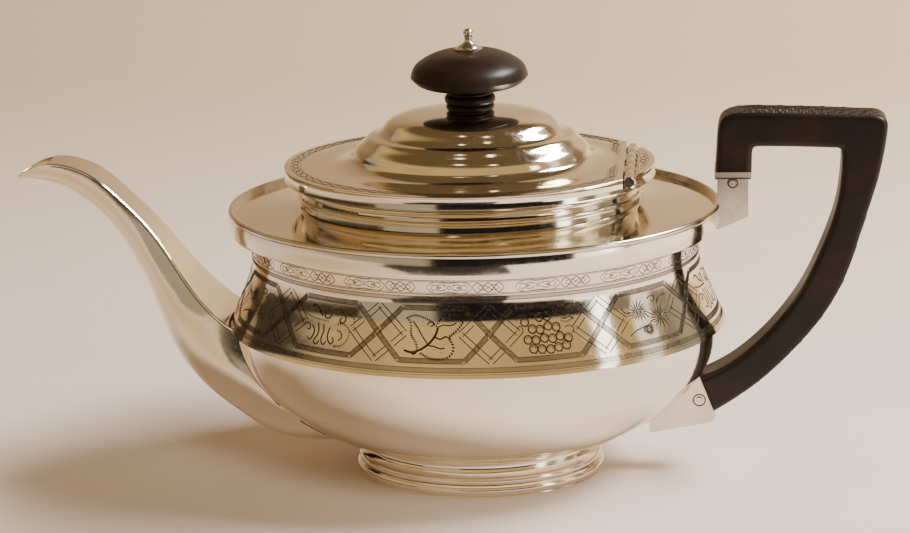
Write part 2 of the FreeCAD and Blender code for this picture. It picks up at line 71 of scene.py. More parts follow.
foot_low, foot_high = mm_box("foot_rim")
bowl_low, bowl_high = mm_box("lower_bowl")
band_high = mm_box("waist_band")[1]
gallery_high = mm_box("rim_gallery")[1]
wire_low, wire_high = mm_box("rim_wire")
collar_low, collar_high = mm_box("mouth_collar")
skirt_low, skirt_high = mm_box("lid_skirt")
dome_low = mm_box("lid_dome")[0]
knob_low = mm_box("knob")[0]
plate_low = mm_box("hinge_plate")[0]
fixed_low, fixed_high = mm_box("hinge_knuckles_fixed")
pin_high = mm_box("hinge_pin")[1]
handle_low, handle_high = mm_box("handle")

OVAL = (foot_high[1] - foot_low[1]) / (foot_high[0] - foot_low[0])
FOOT_A = foot_high[0]
FOOT_RIM_TOP = foot_high[2]
BOWL_A = bowl_high[0]
BOWL_FLOOR = bowl_low[2]
RIDGE_Z = bowl_high[2]
WAIST_TOP = band_high[2]
GALLERY_A = gallery_high[0]
GALLERY_TOP = gallery_high[2]
NECK_TOP = collar_high[2]
LID_SHIFT = skirt_low[0] + skirt_high[1] / OVAL
LID_A = skirt_high[1] / OVAL
LID_TOP = dome_low[2] + LID_SHEET
KNOB_BOTTOM = knob_low[2]
HINGE = np.array(frame["joints"][0]["pos_m"]) / MM
HINGE_R = (fixed_high[2] - fixed_low[2]) / 2
LID_CUT = HINGE[0] - HINGE_R - 0.12
PLATE_CUT = plate_low[0]


# ---- outlines as (distance from the centre along X, height) ----

BOWL_OUTLINE = [
    (0, BOWL_FLOOR), (20, 9.3), (32, 10.2), (38, 11.2), (47, 13.6), (56, 17.8), (63.6, 22.6),
    (69.6, 27.6), (74.2, 32.6), (77.6, 38), (79.8, 43.5), (81.0, 48.5), (BOWL_A, RIDGE_Z),
]
BAND_OUTLINE = [
    (83.3, RIDGE_Z), (82.7, 53.6), (81.95, 55.3), (81.15, 57.1), (80.2, 59.3), (79.2, 61.6), (78.0, 64.3),
    (76.8, 67.1), (75.8, 69.5), (75.1, 72), (74.6, 75), (74.7, 79), (75.5, WAIST_TOP),
]
WAIST_A = BAND_OUTLINE[-1][0]
SHOULDER_OUTLINE = [(GALLERY_A - SHEET, GALLERY_TOP), (70, 91.9), (62, 92.8), (collar_high[0] - 1.0, 94.0)]
DOME_OUTLINE = [
    (49.0, LID_TOP), (46.0, 106.9), (43.0, 107.5), (41.0, 108.3), (39.7, 109.3), (38.9, 111),
    (37.0, 113.2), (35.7, 114.3), (33.9, 116.0), (31.4, 116.8), (29.9, 117.9), (27.8, 120.3), (24, 122.3),
    (17, 123.6), (7, KNOB_BOTTOM),
]
SPOUT_STATIONS = [
    (-152.6, 103.4, -153.8, 101.7, 3.4, 3.3),
    (-147.8, 106.0, -147.2, 101.2, 5.2, 5.0),
    (-142.0, 107.7, -141.0, 99.9, 6.1, 5.9),
    (-132.0, 106.2, -136.2, 97.9, 6.8, 6.6),
    (-119.0, 97.0, -126.6, 90.6, 7.0, 6.9),
    (-107.0, 84.0, -116.4, 76.6, 7.9, 7.9),
    (-97.0, 69.5, -109.4, 60.6, 11.0, 10.6),
    (-88.0, 58.8, -102.6, 42.8, 14.2, 13.4),
    (-79.0, 52.2, -92.5, 29.3, 15.2, 16.2),
    (-65.0, 48.0, -79.8, 19.2, 15.5, 19.0),
    (-48.0, 40.0, -66.0, 12.6, 16.0, 24.5),
    (-36.0, 34.0, -50.0, 11.8, 16.0, 26.5),
]
SPOUT_MOUTH = 2                  # station where the plate ends and the lip opens
SPOUT_RINGS = 130                # sections along the spout
SPOUT_BITE = 0.45                # how far the spout reaches into the body's sheet


# ---- curve helpers ----

def lengths(points):
    """Distance along a polyline of each of its points."""
    return np.concatenate([[0], np.cumsum(np.linalg.norm(np.diff(points, axis=0), axis=1))])


def spline(points, count):
    """A natural cubic spline through the points, sampled evenly by chord length."""
    points = np.asarray(points, float)
    t = lengths(points)
    n = len(t)
    system = np.zeros((n, n))
    right = np.zeros((n, points.shape[1]))
    system[0, 0] = system[-1, -1] = 1
    step = np.diff(t)
    for i in range(1, n - 1):
        system[i, i - 1] = step[i - 1]
        system[i, i] = 2 * (step[i - 1] + step[i])
        system[i, i + 1] = step[i]
        right[i] = 6 * ((points[i + 1] - points[i]) / step[i] - (points[i] - points[i - 1]) / step[i - 1])
    bend = np.linalg.solve(system, right)
    at = np.linspace(0, t[-1], count)
    k = np.clip(np.searchsorted(t, at, side="right") - 1, 0, n - 2)
    h = step[k][:, None]
    a = ((t[k + 1] - at)[:, None]) / h
    b = 1 - a
    return (a * points[k] + b * points[k + 1]
            + ((a ** 3 - a) * bend[k] + (b ** 3 - b) * bend[k + 1]) * h ** 2 / 6)


def inset(points, distance):
    """The polyline moved to the left of its own direction."""
    points = np.asarray(points, float)
    run = np.gradient(points, axis=0)
    run /= np.linalg.norm(run, axis=1)[:, None]
    return points + distance * np.stack([-run[:, 1], run[:, 0]], axis=1)


def arc(centre, radius, start, end, count):
    """Points on an arc, angles in degrees."""
    angles = np.radians(np.linspace(start, end, count))
    return [(centre[0] + radius * math.cos(a), centre[1] + radius * math.sin(a)) for a in angles]


def sheet(outline, thickness, count, flat_start=None, flat_end=None):
    """Closed profile of a sheet: the outline outside, its inset inside, and softened edges."""
    outer = spline(outline, count)
    inner = inset(outer, thickness)
    if flat_start is not None:
        inner[0] = flat_start
    if flat_end is not None:
        inner[-1] = flat_end
    return np.concatenate([outer, inner[::-1]])


# ---- mesh helpers ----

def add_object(name, data):
    """A new object in the scene."""
    thing = bpy.data.objects.new(name, data)
    bpy.context.scene.collection.objects.link(thing)
    return thing


@contextmanager
def editing(mesh):
    """The mesh opened for changes; its normals are made to face outwards afterwards."""
    work = bmesh.new()
    work.from_mesh(mesh)
    yield work
    bmesh.ops.recalc_face_normals(work, faces=work.faces)
    work.to_mesh(mesh)
    work.free()


def mesh_in_mm(name, vertices, faces, weld=True):
    """A mesh given in millimetres."""
    mesh = bpy.data.meshes.new(name)
    mesh.from_pydata((np.asarray(vertices, float) * MM).tolist(), [], [list(map(int, f)) for f in faces])
    with editing(mesh) as work:
        if weld:
            bmesh.ops.remove_doubles(work, verts=work.verts, dist=1e-7)
            bmesh.ops.dissolve_degenerate(work, edges=work.edges, dist=1e-8)
    return mesh


def shade(mesh, sharp=SMOOTH_ANGLE):
    """Smooth shading that keeps edges sharper than an angle."""
    mesh.shade_smooth()
    mesh.set_sharp_from_angle(angle=sharp)


def new_piece(name, vertices, faces, body, nodes, material, slot="polished_silver"):
    """A smooth-shaded piece, given in millimetres, that rides on a body and stands for CAD nodes."""
    return finish_piece(name, mesh_in_mm(name, vertices, faces), body, nodes, material)


def finish_piece(name, mesh, body, nodes, material, sharp=SMOOTH_ANGLE):
    """Shades a mesh and hooks it to the frame."""
    shade(mesh, sharp)
    mesh.materials.append(material)
    piece = add_object(name, mesh)
    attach(piece, body)
    if nodes:
        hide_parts(*nodes)
    return piece


def turned_mesh(profile, squeeze=None, centre_x=0.0, segments=ROUND):
    """Vertices and faces of a closed profile turned about Z and squeezed along Y."""
    squeeze = OVAL if squeeze is None else squeeze
    profile = np.asarray(profile, float)
    n = len(profile)
    angle = np.linspace(0, 2 * np.pi, segments, endpoint=False)
    x = np.asarray(centre_x) + np.outer(np.cos(angle), profile[:, 0])
    y = squeeze * np.outer(np.sin(angle), profile[:, 0])
    z = np.broadcast_to(profile[:, 1], x.shape)
    vertices = np.stack([x, y, z], axis=2).reshape(-1, 3)
    ring = np.arange(segments)[:, None] * n
    next_ring = (np.arange(segments)[:, None] + 1) % segments * n
    i = np.arange(n)[None, :]
    j = (np.arange(n)[None, :] + 1) % n
    faces = np.stack(np.broadcast_arrays(ring + i, next_ring + i, next_ring + j, ring + j), axis=2)
    return vertices, faces.reshape(-1, 4)


def turned(name, profile, body, nodes, material, slot="polished_silver", **shape):
    """A turned piece."""
    return new_piece(name, *turned_mesh(profile, **shape), body, nodes, material, slot)


def bridge(rings, closed=True):
    """Quads between successive rings of equal length."""
    faces = []
    n = len(rings[0])
    for r in range(len(rings) - 1):
        for i in range(n if closed else n - 1):
            j = (i + 1) % n
            faces.append([r * n + i, r * n + j, (r + 1) * n + j, (r + 1) * n + i])
    return faces


def loft(rings):
    """Vertices and faces of closed sections joined in order, with both ends closed."""
    n = len(rings[0])
    last = (len(rings) - 1) * n
    ends = [list(range(n))[::-1], [last + i for i in range(n)]]
    return np.concatenate(rings), bridge(rings) + ends


def add_loft(vertices, faces, rings):
    """Adds a loft to lists of vertices and faces."""
    more_vertices, more_faces = loft(rings)
    faces += [[len(vertices) + k for k in face] for face in more_faces]
    vertices += list(more_vertices)


def cut_with_plane(piece, x, keep_low):
    """Cuts a closed mesh at a plane of constant x and closes the cut."""
    with editing(piece.data) as work:
        geometry = work.verts[:] + work.edges[:] + work.faces[:]
        bmesh.ops.bisect_plane(work, geom=geometry, plane_co=(x * MM, 0, 0), plane_no=(1, 0, 0),
                               clear_outer=keep_low, clear_inner=not keep_low)
        open_edges = [edge for edge in work.edges if edge.is_boundary]
        bmesh.ops.holes_fill(work, edges=open_edges, sides=0)
    shade(piece.data)


def cut_away(piece, name, vertices, faces):
    """Takes a closed form, given in millimetres, away from a piece."""
    tool = add_object(name, mesh_in_mm(name, vertices, faces))
    modifier = piece.modifiers.new("cut", "BOOLEAN")
    modifier.object = tool
    modifier.operation = "DIFFERENCE"
    modifier.solver = "EXACT"
    graph = bpy.context.evaluated_depsgraph_get()
    result = bpy.data.meshes.new_from_object(piece.evaluated_get(graph))
    piece.modifiers.clear()
    old = piece.data
    piece.data = result
    bpy.data.meshes.remove(old)
    bpy.data.objects.remove(tool)
    shade(piece.data)


# ---- materials ----

class Nodes:
    """Short way to write the node tree of a material, or of a world."""

    def __init__(self, name, world=False):
        self.material = (bpy.data.worlds if world else bpy.data.materials).new(name)
        self.material.use_nodes = True
        self.tree = self.material.node_tree
        self.tree.nodes.clear()
        self.output = self.tree.nodes.new("ShaderNodeOutputWorld" if world else "ShaderNodeOutputMaterial")

    def add(self, kind, inputs=None, **settings):
        node = self.tree.nodes.new(kind)
        for key, value in settings.items():
            setattr(node, key, value)
        for key, value in (inputs or {}).items():
            if isinstance(value, bpy.types.NodeSocket):
                self.tree.links.new(value, node.inputs[key])
            else:
                node.inputs[key].default_value = value
        return node

    def place(self, scale=(1, 1, 1)):
        """Object coordinates in metres, scaled."""
        coordinates = self.add("ShaderNodeTexCoord")
        mapping = self.add("ShaderNodeMapping", {"Vector": coordinates.outputs["Object"], "Scale": scale})
        return mapping.outputs["Vector"]

    def noise(self, scale, detail=4.0, place=None, roughness=0.5):
        inputs = {"Vector": place or self.place(), "Scale": scale, "Detail": detail,
                  "Roughness": roughness}
        return self.add("ShaderNodeTexNoise", inputs).outputs["Fac"]

    def ramp(self, value, low, high, start=0.0, end=1.0):
        inputs = {"Value": value, "From Min": low, "From Max": high, "To Min": start, "To Max": end}
        return self.add("ShaderNodeMapRange", inputs).outputs["Result"]

    def math(self, operation, a, b=0.0):
        return self.add("ShaderNodeMath", {0: a, 1: b}, operation=operation).outputs[0]

    def mix(self, factor, a, b):
        return self.add("ShaderNodeMix", {0: factor, 6: a, 7: b}, data_type="RGBA").outputs[2]

    def bump(self, height, distance, strength=1.0, normal=None):
        inputs = {"Height": height, "Distance": distance, "Strength": strength}
        if normal:
            inputs["Normal"] = normal
        return self.add("ShaderNodeBump", inputs).outputs["Normal"]

    def finish(self, inputs):
        shader = self.add("ShaderNodeBsdfPrincipled", inputs)
        self.tree.links.new(shader.outputs["BSDF"], self.output.inputs["Surface"])
        return self.material


def silver(name, polish=0.07, tarnish=0.25, undulation=0.00003, tone=1.0):
    """Old polished silver: soft dents, hairline scratches, warm tarnish and finger-worn haze."""
    n = Nodes(name)
    patches = n.ramp(n.noise(38, 3), 0.45, 0.75)
    specks = n.ramp(n.noise(420, 2), 0.62, 0.72)
    wear = n.math("MULTIPLY", n.math("MAXIMUM", patches, n.math("MULTIPLY", specks, 0.6)), tarnish)
    bright = tuple(tone * c for c in (0.88, 0.815, 0.70)) + (1,)
    colour = n.mix(wear, bright, (0.62 * tone, 0.49 * tone, 0.33 * tone, 1))
    haze = n.ramp(n.noise(55, 5), 0.35, 0.75, polish, polish + 0.07)
    long_way = n.noise(1, 3, n.place((900, 70, 500)))
    cross_way = n.noise(1, 3, n.place((110, 1200, 160)))
    hairs = n.math("ADD", n.ramp(long_way, 0.56, 0.60), n.ramp(cross_way, 0.57, 0.60))
    rough = n.math("ADD", haze, n.math("MULTIPLY", hairs, 0.03))
    hammered = n.bump(n.noise(24, 2), undulation * 20, 0.5)
    normal = n.bump(hairs, 0.0000022, 0.5, hammered)
    return n.finish({"Base Color": colour, "Metallic": 1.0, "Roughness": rough, "Normal": normal})


def cut_silver(name):
    """Engraver's cuts: the same silver with old tarnish left in the groove."""
    n = Nodes(name)
    depth = n.noise(900, 2)
    colour = n.mix(n.ramp(depth, 0.35, 0.65), (0.022, 0.017, 0.013, 1), (0.10, 0.078, 0.056, 1))
    return n.finish({"Base Color": colour, "Metallic": 1.0, "Roughness": 0.5})


def joint_and_shade_silver(name):
    """The tarnish that stays in a joint; along the spout plate the same dark colour is also painted shade
    under the plate's edge.
    """
    n = Nodes(name)
    colour = n.mix(n.ramp(n.noise(300, 2), 0.3, 0.7), (0.035, 0.026, 0.018, 1), (0.12, 0.09, 0.06, 1))
    return n.finish({"Base Color": colour, "Metallic": 0.6, "Roughness": 0.5})


def ebonised_wood(name):
    """Fruitwood stained black, reddish brown where hands have worn it, with fine grain."""
    n = Nodes(name)
    grain = n.noise(1, 6, n.place((60, 900, 60)), 0.62)
    streaks = n.noise(1, 5, n.place((150, 1500, 150)), 0.6)
    worn = n.ramp(n.noise(26, 4), 0.46, 0.72)
    dark = n.mix(n.ramp(grain, 0.35, 0.65), (0.0035, 0.0027, 0.0022, 1), (0.011, 0.0068, 0.0048, 1))
    brown = n.mix(n.ramp(streaks, 0.35, 0.7), (0.016, 0.0075, 0.0048, 1), (0.046, 0.018, 0.0095, 1))
    colour = n.mix(n.math("MULTIPLY", worn, 0.6), dark, brown)
    rough = n.ramp(n.noise(70, 4), 0.3, 0.7, 0.34, 0.5)
    normal = n.bump(streaks, 0.00006, 0.35)
    return n.finish({"Base Color": colour, "Roughness": rough, "Normal": normal,
                     "Specular IOR Level": 0.24, "Coat Weight": 0.06, "Coat Roughness": 0.3})


def steel(name):
    """Plain worn steel for the hidden fastening."""
    n = Nodes(name)
    colour = n.mix(n.ramp(n.noise(300, 4), 0.4, 0.7), (0.50, 0.48, 0.45, 1), (0.30, 0.25, 0.20, 1))
    rough = n.ramp(n.noise(500, 3), 0.3, 0.7, 0.25, 0.45)
    return n.finish({"Base Color": colour, "Metallic": 1.0, "Roughness": rough})


SILVER = silver("silver_body")
SILVER_SMALL = silver("silver_fittings", 0.13, 0.75, tone=0.82)
CUTS = cut_silver("silver_engraved")
JOINT_AND_SHADE = joint_and_shade_silver("silver_joint_and_shade")
WOOD = ebonised_wood("ebonised_wood")
STEEL = steel("steel_fastening")


# ---- foot and body ----

def build_foot():
    """Base rim and raised foot with its beads."""
    inner = FOOT_A - 3.6
    rim = [(inner, 0.0), (FOOT_A - 0.9, 0.0)] + arc((FOOT_A - 2.0, 1.9), 2.0, -62, 62, 14)
    rim += [(FOOT_A - 1.3, FOOT_RIM_TOP), (inner, FOOT_RIM_TOP)]
    turned("foot_rim_silver", rim, "pot", ["foot_rim"], SILVER)
    bead = arc((FOOT_A - 2.2, 5.1), 1.25, -74, 74, 14)
    neck = spline([(FOOT_A - 2.3, 6.5), (38.7, 7.6), (37.8, 9.4), (38.4, 11.9)], 14).tolist()
    ring = bead + neck + [(36.6, 12.1), (inner, FOOT_RIM_TOP)]
    turned("foot_ring_silver", ring, "pot", ["foot_ring"], SILVER)


def strainer_drills():
    """Drills for the pierced strainer behind the spout."""
    vertices = []
    faces = []
    sides = 12
    hole = 1.3
    pitch = 5.2
    middle_z = 36.0
    for row, count in [(0, 5), (1, 4), (-1, 4), (2, 3), (-2, 3)]:
        for i in range(count):
            y = (i - (count - 1) / 2) * pitch
            z = middle_z + row * pitch * 0.87
            circle = arc((y, z), hole, 0, 360 - 360 / sides, sides)
            add_loft(vertices, faces, [[(x, *point) for point in circle] for x in (-90, -50)])
    return vertices, faces


def build_bowl():
    """Plain raised bowl with the strainer pierced in it."""
    profile = sheet(BOWL_OUTLINE, SHEET, 72, (0, BOWL_FLOOR + SHEET), (BOWL_A - SHEET, RIDGE_Z))
    bowl = turned("bowl_silver", profile, "pot", ["lower_bowl"], SILVER)
    cut_away(bowl, "strainer_drills", *strainer_drills())


def build_band():
    """Incurved waist band; its lower edge steps out over the bowl as a fine moulding."""
    profile = sheet(BAND_OUTLINE, SHEET, 64, (BOWL_A - SHEET, RIDGE_Z), (WAIST_A - SHEET, WAIST_TOP))
    turned("waist_band_silver", profile, "pot", ["waist_band"], SILVER, segments=FINE_ROUND)


def build_gallery():
    """Upright gallery and the half-round wire on it."""
    foot_a = GALLERY_A - 0.1
    inner = WAIST_A - SHEET
    wall = [(inner, WAIST_TOP), (foot_a - 0.5, WAIST_TOP), (foot_a - 0.15, WAIST_TOP + 0.12)]
    face = [(foot_a, WAIST_TOP + 0.45), (foot_a + 0.16, WAIST_TOP + 2.2),
            (GALLERY_A + 0.1, GALLERY_TOP - 2.0), (GALLERY_A - 0.1, GALLERY_TOP)]
    wall += spline(face, 14).tolist()
    wall += [(GALLERY_A - SHEET, GALLERY_TOP), (foot_a - SHEET, WAIST_TOP + SHEET),
             (inner, WAIST_TOP + SHEET)]
    turned("gallery_silver", wall, "pot", ["rim_gallery"], SILVER, segments=FINE_ROUND)
    half = (wire_high[2] - wire_low[2]) / 2
    middle = (GALLERY_A - 0.55, GALLERY_TOP + half)
    wire = arc(middle, half, -86, 120, 20)
    wire += [(GALLERY_A - SHEET, GALLERY_TOP + 1.2), (GALLERY_A - SHEET, GALLERY_TOP)]
    turned("rim_wire_silver", wire, "pot", ["rim_wire"], SILVER_SMALL, segments=FINE_ROUND)


def build_shoulder():
    """Nearly flat shoulder plate."""
    top = spline(SHOULDER_OUTLINE, 20)
    profile = np.concatenate([top, (top - [0, SHEET])[::-1]])
    turned("shoulder_silver", profile, "pot", ["shoulder_plate"], SILVER)


def build_collar():
    """Neck of the mouth with two fine beads and a flared lip under the lid."""
    a = collar_high[0] - LID_SHIFT - 1.7
    low = collar_low[2]
    outside = [(a, low), (a, 94.3), (a + 0.6, 94.1), (a + 0.3, 95.3)]
    outside += arc((a + 0.1, 96.5), 0.85, -80, 80, 9)
    outside += [(a - 0.2, 97.6), (a - 0.6, 98.7), (a - 0.3, 99.5)]
    outside += arc((a + 0.6, 100.4), 0.75, -80, 60, 8)
    outside += [(a + 1.2, 101.2), (a + 1.7, 101.6), (a + 1.6, NECK_TOP)]
    profile = outside + [(54.8, NECK_TOP), (54.6, NECK_TOP - 0.3), (54.6, low)]
    turned("neck_silver", profile, "pot", ["mouth_collar"], SILVER, centre_x=LID_SHIFT)


# ---- spout ----

def spout_axes(station):
    """Middle of the plate at a station, the direction down through the spout, and its depth."""
    top = np.array([station[0], 0, station[1]])
    down = np.array([station[2], 0, station[3]]) - top
    depth = np.linalg.norm(down)
    return top, down / depth, depth


def spout_section(station, wall=0.0, rise=0.0):
    """Open U of the spout at a station, from one top edge round the bottom to the other.

    The side starts square to the plate and curls under it; towards the root it flares to the body."""
    points = 41
    top, down, depth = spout_axes(station)
    half = max(station[4] - wall, 0.3)
    mid = max(station[5] - wall, 0.3)
    fullness = 2 / 2.5
    turn = np.linspace(0, np.pi, points)
    fall = np.sin(turn) ** fullness
    flare = max(mid / half / 0.95 - 1, 0)
    spread = 1 + flare * np.clip(fall / 0.5, 0, 1) ** 1.5
    across = half * spread * np.sign(np.cos(turn)) * np.abs(np.cos(turn)) ** fullness
    fall = fall * (depth - wall)
    fall[0] = fall[-1] = -rise
    return top + across[:, None] * np.array([0, 1, 0]) + fall[:, None] * down


def body_form():
    """Filled body form, a little smaller than the real one, to trim what is soldered on."""
    outline = np.concatenate([spline(BOWL_OUTLINE, 48), spline(BAND_OUTLINE, 40)[1:]])
    outline = inset(outline, SPOUT_BITE)
    profile = np.concatenate([[(0, BOWL_FLOOR + SPOUT_BITE)], outline[1:], [(0, outline[-1][1])]])
    return turned_mesh(profile, segments=192)


def build_spout():
    """Swan-neck trough with an open lip."""
    rings = []
    for station in spline(SPOUT_STATIONS, SPOUT_RINGS):
        outer = spout_section(station)
        inner = spout_section(station, LID_SHEET)
        lift = 0.12 * (spout_section(station, rise=1.0)[0] - outer[0])
        edge = [(outer[-1] + inner[-1]) / 2 + lift, (outer[0] + inner[0]) / 2 + lift]
        rings.append(np.concatenate([outer, edge[:1], inner[::-1], edge[1:]]))
    n = len(rings[0])
    faces = bridge(rings)
    for base in (0, (len(rings) - 1) * n):
        for i in range(n // 2):
            faces.append([base + i, base + i + 1, base + n - 2 - i - 1, base + n - 2 - i])
    trough = new_piece("spout_trough_silver", np.concatenate(rings), faces, "pot", ["spout_trough"], SILVER)
    cut_away(trough, "body_form", *body_form())


def build_spout_plate():
    """Flat top of the spout, its edges standing slightly proud of the trough."""
    rings = []
    for station in spline(SPOUT_STATIONS, SPOUT_RINGS):
        if station[0] < SPOUT_STATIONS[SPOUT_MOUTH][0]:
            continue
        top, down = spout_axes(station)[:2]
        half = station[4]
        right = [(half - 0.25, -0.34), (half + 0.12, -0.08), (half + 0.12, 0.42), (half - 0.3, 0.62),
                 (half - 1.2, 0.9)]
        section = [(-right[0][0], right[0][1])] + right + [(-w, d) for w, d in right[:0:-1]]
        rings.append(np.array([top + np.array([0, w, 0]) + d * down for w, d in section]))
    plate = new_piece("spout_plate_silver", *loft(rings), "pot", ["spout_top_plate"], SILVER)
    cut_away(plate, "body_form", *body_form())


# ---- lid and hinge ----

def lid_edge():
    """Outside of the skirt and the turn into the flat flange, from below."""
    low = skirt_low[2]
    a = LID_A
    edge = [(a - 0.15, low), (a, low + 0.2), (a - 0.35, low + 1.2), (a - 0.45, low + 2.6)]
    edge.append((a - 0.1, LID_TOP - 0.75))
    return edge + arc((a - 0.35, LID_TOP - 0.35), 0.35, 0, 90, 5)


def build_lid():
    """Flange, skirt and dome of the lid.

    The flange is centred on the neck at its edge and on the dome at its opening."""
    inner = 48.98
    under = LID_TOP - LID_SHEET
    edge = lid_edge()
    skirt = edge[:5] + [(LID_A - 0.35, under), (LID_A - 1.2, under), (LID_A - 1.2, skirt_low[2])]
    centres = [LID_SHIFT] * len(edge[5:]) + [0.0, 0.0, LID_SHIFT]
    outline = edge[5:] + [(inner, LID_TOP), (inner, under), (LID_A - 0.35, under)]
    piece = turned("lid_flange_silver", outline, "lid", ["lid_flange"], SILVER, centre_x=centres)
    cut_with_plane(piece, LID_CUT, True)
    piece = turned("lid_skirt_silver", skirt, "lid", ["lid_skirt"], SILVER, centre_x=LID_SHIFT)
    cut_with_plane(piece, LID_CUT, True)
    build_fixed_plate(edge)
    dome = sheet(DOME_OUTLINE, LID_SHEET, 90, (49.0, under), (7, KNOB_BOTTOM - LID_SHEET))
    half = len(dome) // 2
    top = [(0, KNOB_BOTTOM), (0, KNOB_BOTTOM - LID_SHEET)]
    turned("lid_dome_silver", np.concatenate([dome[:half], top, dome[half:]]), "lid", ["lid_dome"], SILVER)


def build_fixed_plate(edge):
    """End of the flange behind the hinge, chamfered so that the lid clears it when thrown back."""
    under = LID_TOP - LID_SHEET
    middle_a = 30
    top = [(middle_a, LID_TOP), (middle_a, under), (LID_A - 1.2, under), (LID_A - 1.2, NECK_TOP),
           (LID_A - 0.15, NECK_TOP)]
    piece = turned("hinge_plate_silver", edge[1:] + top, "pot", ["hinge_plate"], SILVER, centre_x=LID_SHIFT)
    cut_with_plane(piece, PLATE_CUT, False)
    chamfer = 1.9
    corners = [(PLATE_CUT - 1, LID_TOP + 1), (PLATE_CUT - 1, LID_TOP - chamfer),
               (PLATE_CUT + chamfer, LID_TOP + 1)]
    cut_away(piece, "chamfer_form", *loft([[(x, y, z) for x, z in corners] for y in (-LID_A, LID_A)]))


def build_hinge():
    """The flush hinge, and the filed ends of its barrel out to the edge of the flange."""
    for node in ("hinge_knuckles_fixed", "hinge_knuckles_moving"):
        dress_cad_node(node, SILVER_SMALL, 0.12)
    edge = OVAL * math.sqrt(LID_A ** 2 - (HINGE[0] - LID_SHIFT) ** 2) - 0.15
    soft = 0.25
    start = pin_high[1] + 0.06
    outline = [(0, start), (HINGE_R, start), (HINGE_R, edge - soft), (HINGE_R - soft, edge), (0, edge)]
    vertices, faces = turned_mesh(outline, squeeze=1.0, segments=48)
    x, z, y = vertices.T
    for side, name in ((-1, "front"), (1, "back")):
        along = np.stack([x + HINGE[0], side * y, z + HINGE[2]], axis=1)
        new_piece("hinge_barrel_end_" + name, along, faces, "pot", [], SILVER_SMALL)


# ---- knob ----

def build_knob():
    """Turned wooden knob under a silver finial."""
    def above(base, points):
        return [(radius, base + height) for radius, height in points]

    b = KNOB_BOTTOM
    crown_height = 20.0
    stem = above(b, [(0, 0), (7.2, 0)]) + arc((6.9, b + 1.35), 1.05, -80, 80, 10)
    stem += above(b, [(7.1, 2.6)]) + arc((6.7, b + 3.9), 1.7, -62, 62, 12)
    stem += above(b, [(6.9, 5.5), (7.4, 5.75), (7.4, 6.1), (6.4, 6.6), (5.6, 7.1), (5.4, 7.8)])
    under = spline(above(b, [(5.4, 7.8), (12.5, 8.15), (17.4, 9.4), (19.3, 11.4)]), 26).tolist()
    crown = above(b, [(19.3, 11.4), (18.4, 14.2), (15.2, 17.0), (9.8, 19.3), (4.6, crown_height)])
    profile = stem + under[1:] + spline(crown, 30).tolist()[1:] + [(0, b + crown_height)]
    turned("knob_wood", profile, "lid", ["knob"], WOOD, "ebonised_wood", squeeze=1.0, segments=144)
    base = b + crown_height
    cap = above(base, [(0, 0), (4.5, 0), (4.55, 0.45), (4.2, 0.75), (3.6, 0.85), (3.4, 1.2), (2.6, 1.7),
                       (1.7, 2.4), (1.15, 3.2), (1.1, 3.6), (1.5, 3.85), (1.15, 4.1)])
    cap += arc((0, base + 5.45), 1.7, -48, 60, 14)
    cap += above(base, [(0.5, 7.0), (0.25, 7.1), (0, 7.1)])
    turned("finial_silver", cap, "lid", ["finial"], SILVER_SMALL, squeeze=1.0, segments=96)


# ---- handle ----

HANDLE_OUTER = [
    (133.4, 104.0), (132.0, 97.8), (128.8, 87.5), (125.3, 75.0), (118.8, 59.5), (111.6, 49.0),
    (103.8, 40.2), (95.9, 32.4), (88.0, 26.3), (79.6, 21.0),
]
HANDLE_INNER = [
    (120.7, 104.0), (120.5, 100.0), (119.4, 92.4), (117.5, 85.8), (115.0, 79.0), (112.4, 72.8), (108.4, 64.3),
    (104.2, 57.8), (98.7, 50.7), (93.3, 45.0), (88.0, 40.4), (81.5, 36.0), (75.0, 33.0),
]


def relaxed(points, turns):
    """The same line with its small waves smoothed out, ends kept."""
    points = points.copy()
    for _ in range(turns):
        points[1:-1] = (points[:-2] + 2 * points[1:-1] + points[2:]) / 4
    return points


HANDLE_RUNS = [
    ([(80.0, 104.0), (80.6, 113.5)],
     [(91.8, 104.0), (91.9, 109.6)], 16),
    ([(80.6, 113.5), (81.0, 118.0), (82.2, 121.2), (85.2, 123.0), (92.5, 123.9)],
     [(91.9, 109.6), (92.1, 111.0), (92.5, 111.7), (93.2, 112.0), (94.8, 112.1)], 46),
    ([(92.5, 123.9), (112, 123.3), (129.0, 122.4)],
     [(94.8, 112.1), (106, 111.9), (118.4, 111.5)], 110),
    ([(129.0, 122.4), (133.2, 121.9), (135.0, 120.2), (135.3, 117.0), (133.4, 104.0)],
     [(118.4, 111.5), (119.7, 111.3), (120.4, 110.7), (120.7, 109.6), (120.7, 104.0)], 60),
]


def handle_rails():
    """Matching points along the outside and the inside of the handle, from the leg to the lower end."""
    outer, inner = [], []
    for outside, inside, count in HANDLE_RUNS:
        skip = 1 if outer else 0
        outer.append(spline(outside, count)[skip:])
        inner.append(spline(inside, count)[skip:])
    outer.append(relaxed(spline(HANDLE_OUTER, 150), 90)[1:])
    inner.append(relaxed(spline(HANDLE_INNER, 150), 90)[1:])
    return np.concatenate(outer), np.concatenate(inner)


def handle_section(half, depth, corner=1.9, bend=6, flat=14):
    """Square section with rounded corners, as (u, v): u across the thickness, v from the inside outwards."""
    corners = []
    for cu, cv, start in ((1, 0, -90), (1, 1, 0), (-1, 1, 90), (-1, 0, 180)):
        centre = (cu * (half - corner), depth - corner if cv else corner)
        corners.append(arc(centre, corner, start, start + 90, bend))
    section = []
    for k in range(4):
        section += corners[k]
        u, v = corners[k][-1]
        end_u, end_v = corners[(k + 1) % 4][0]
        for step in range(1, flat):
            share = step / flat
            section.append((u + (end_u - u) * share, v + (end_v - v) * share))
    return np.array(section)


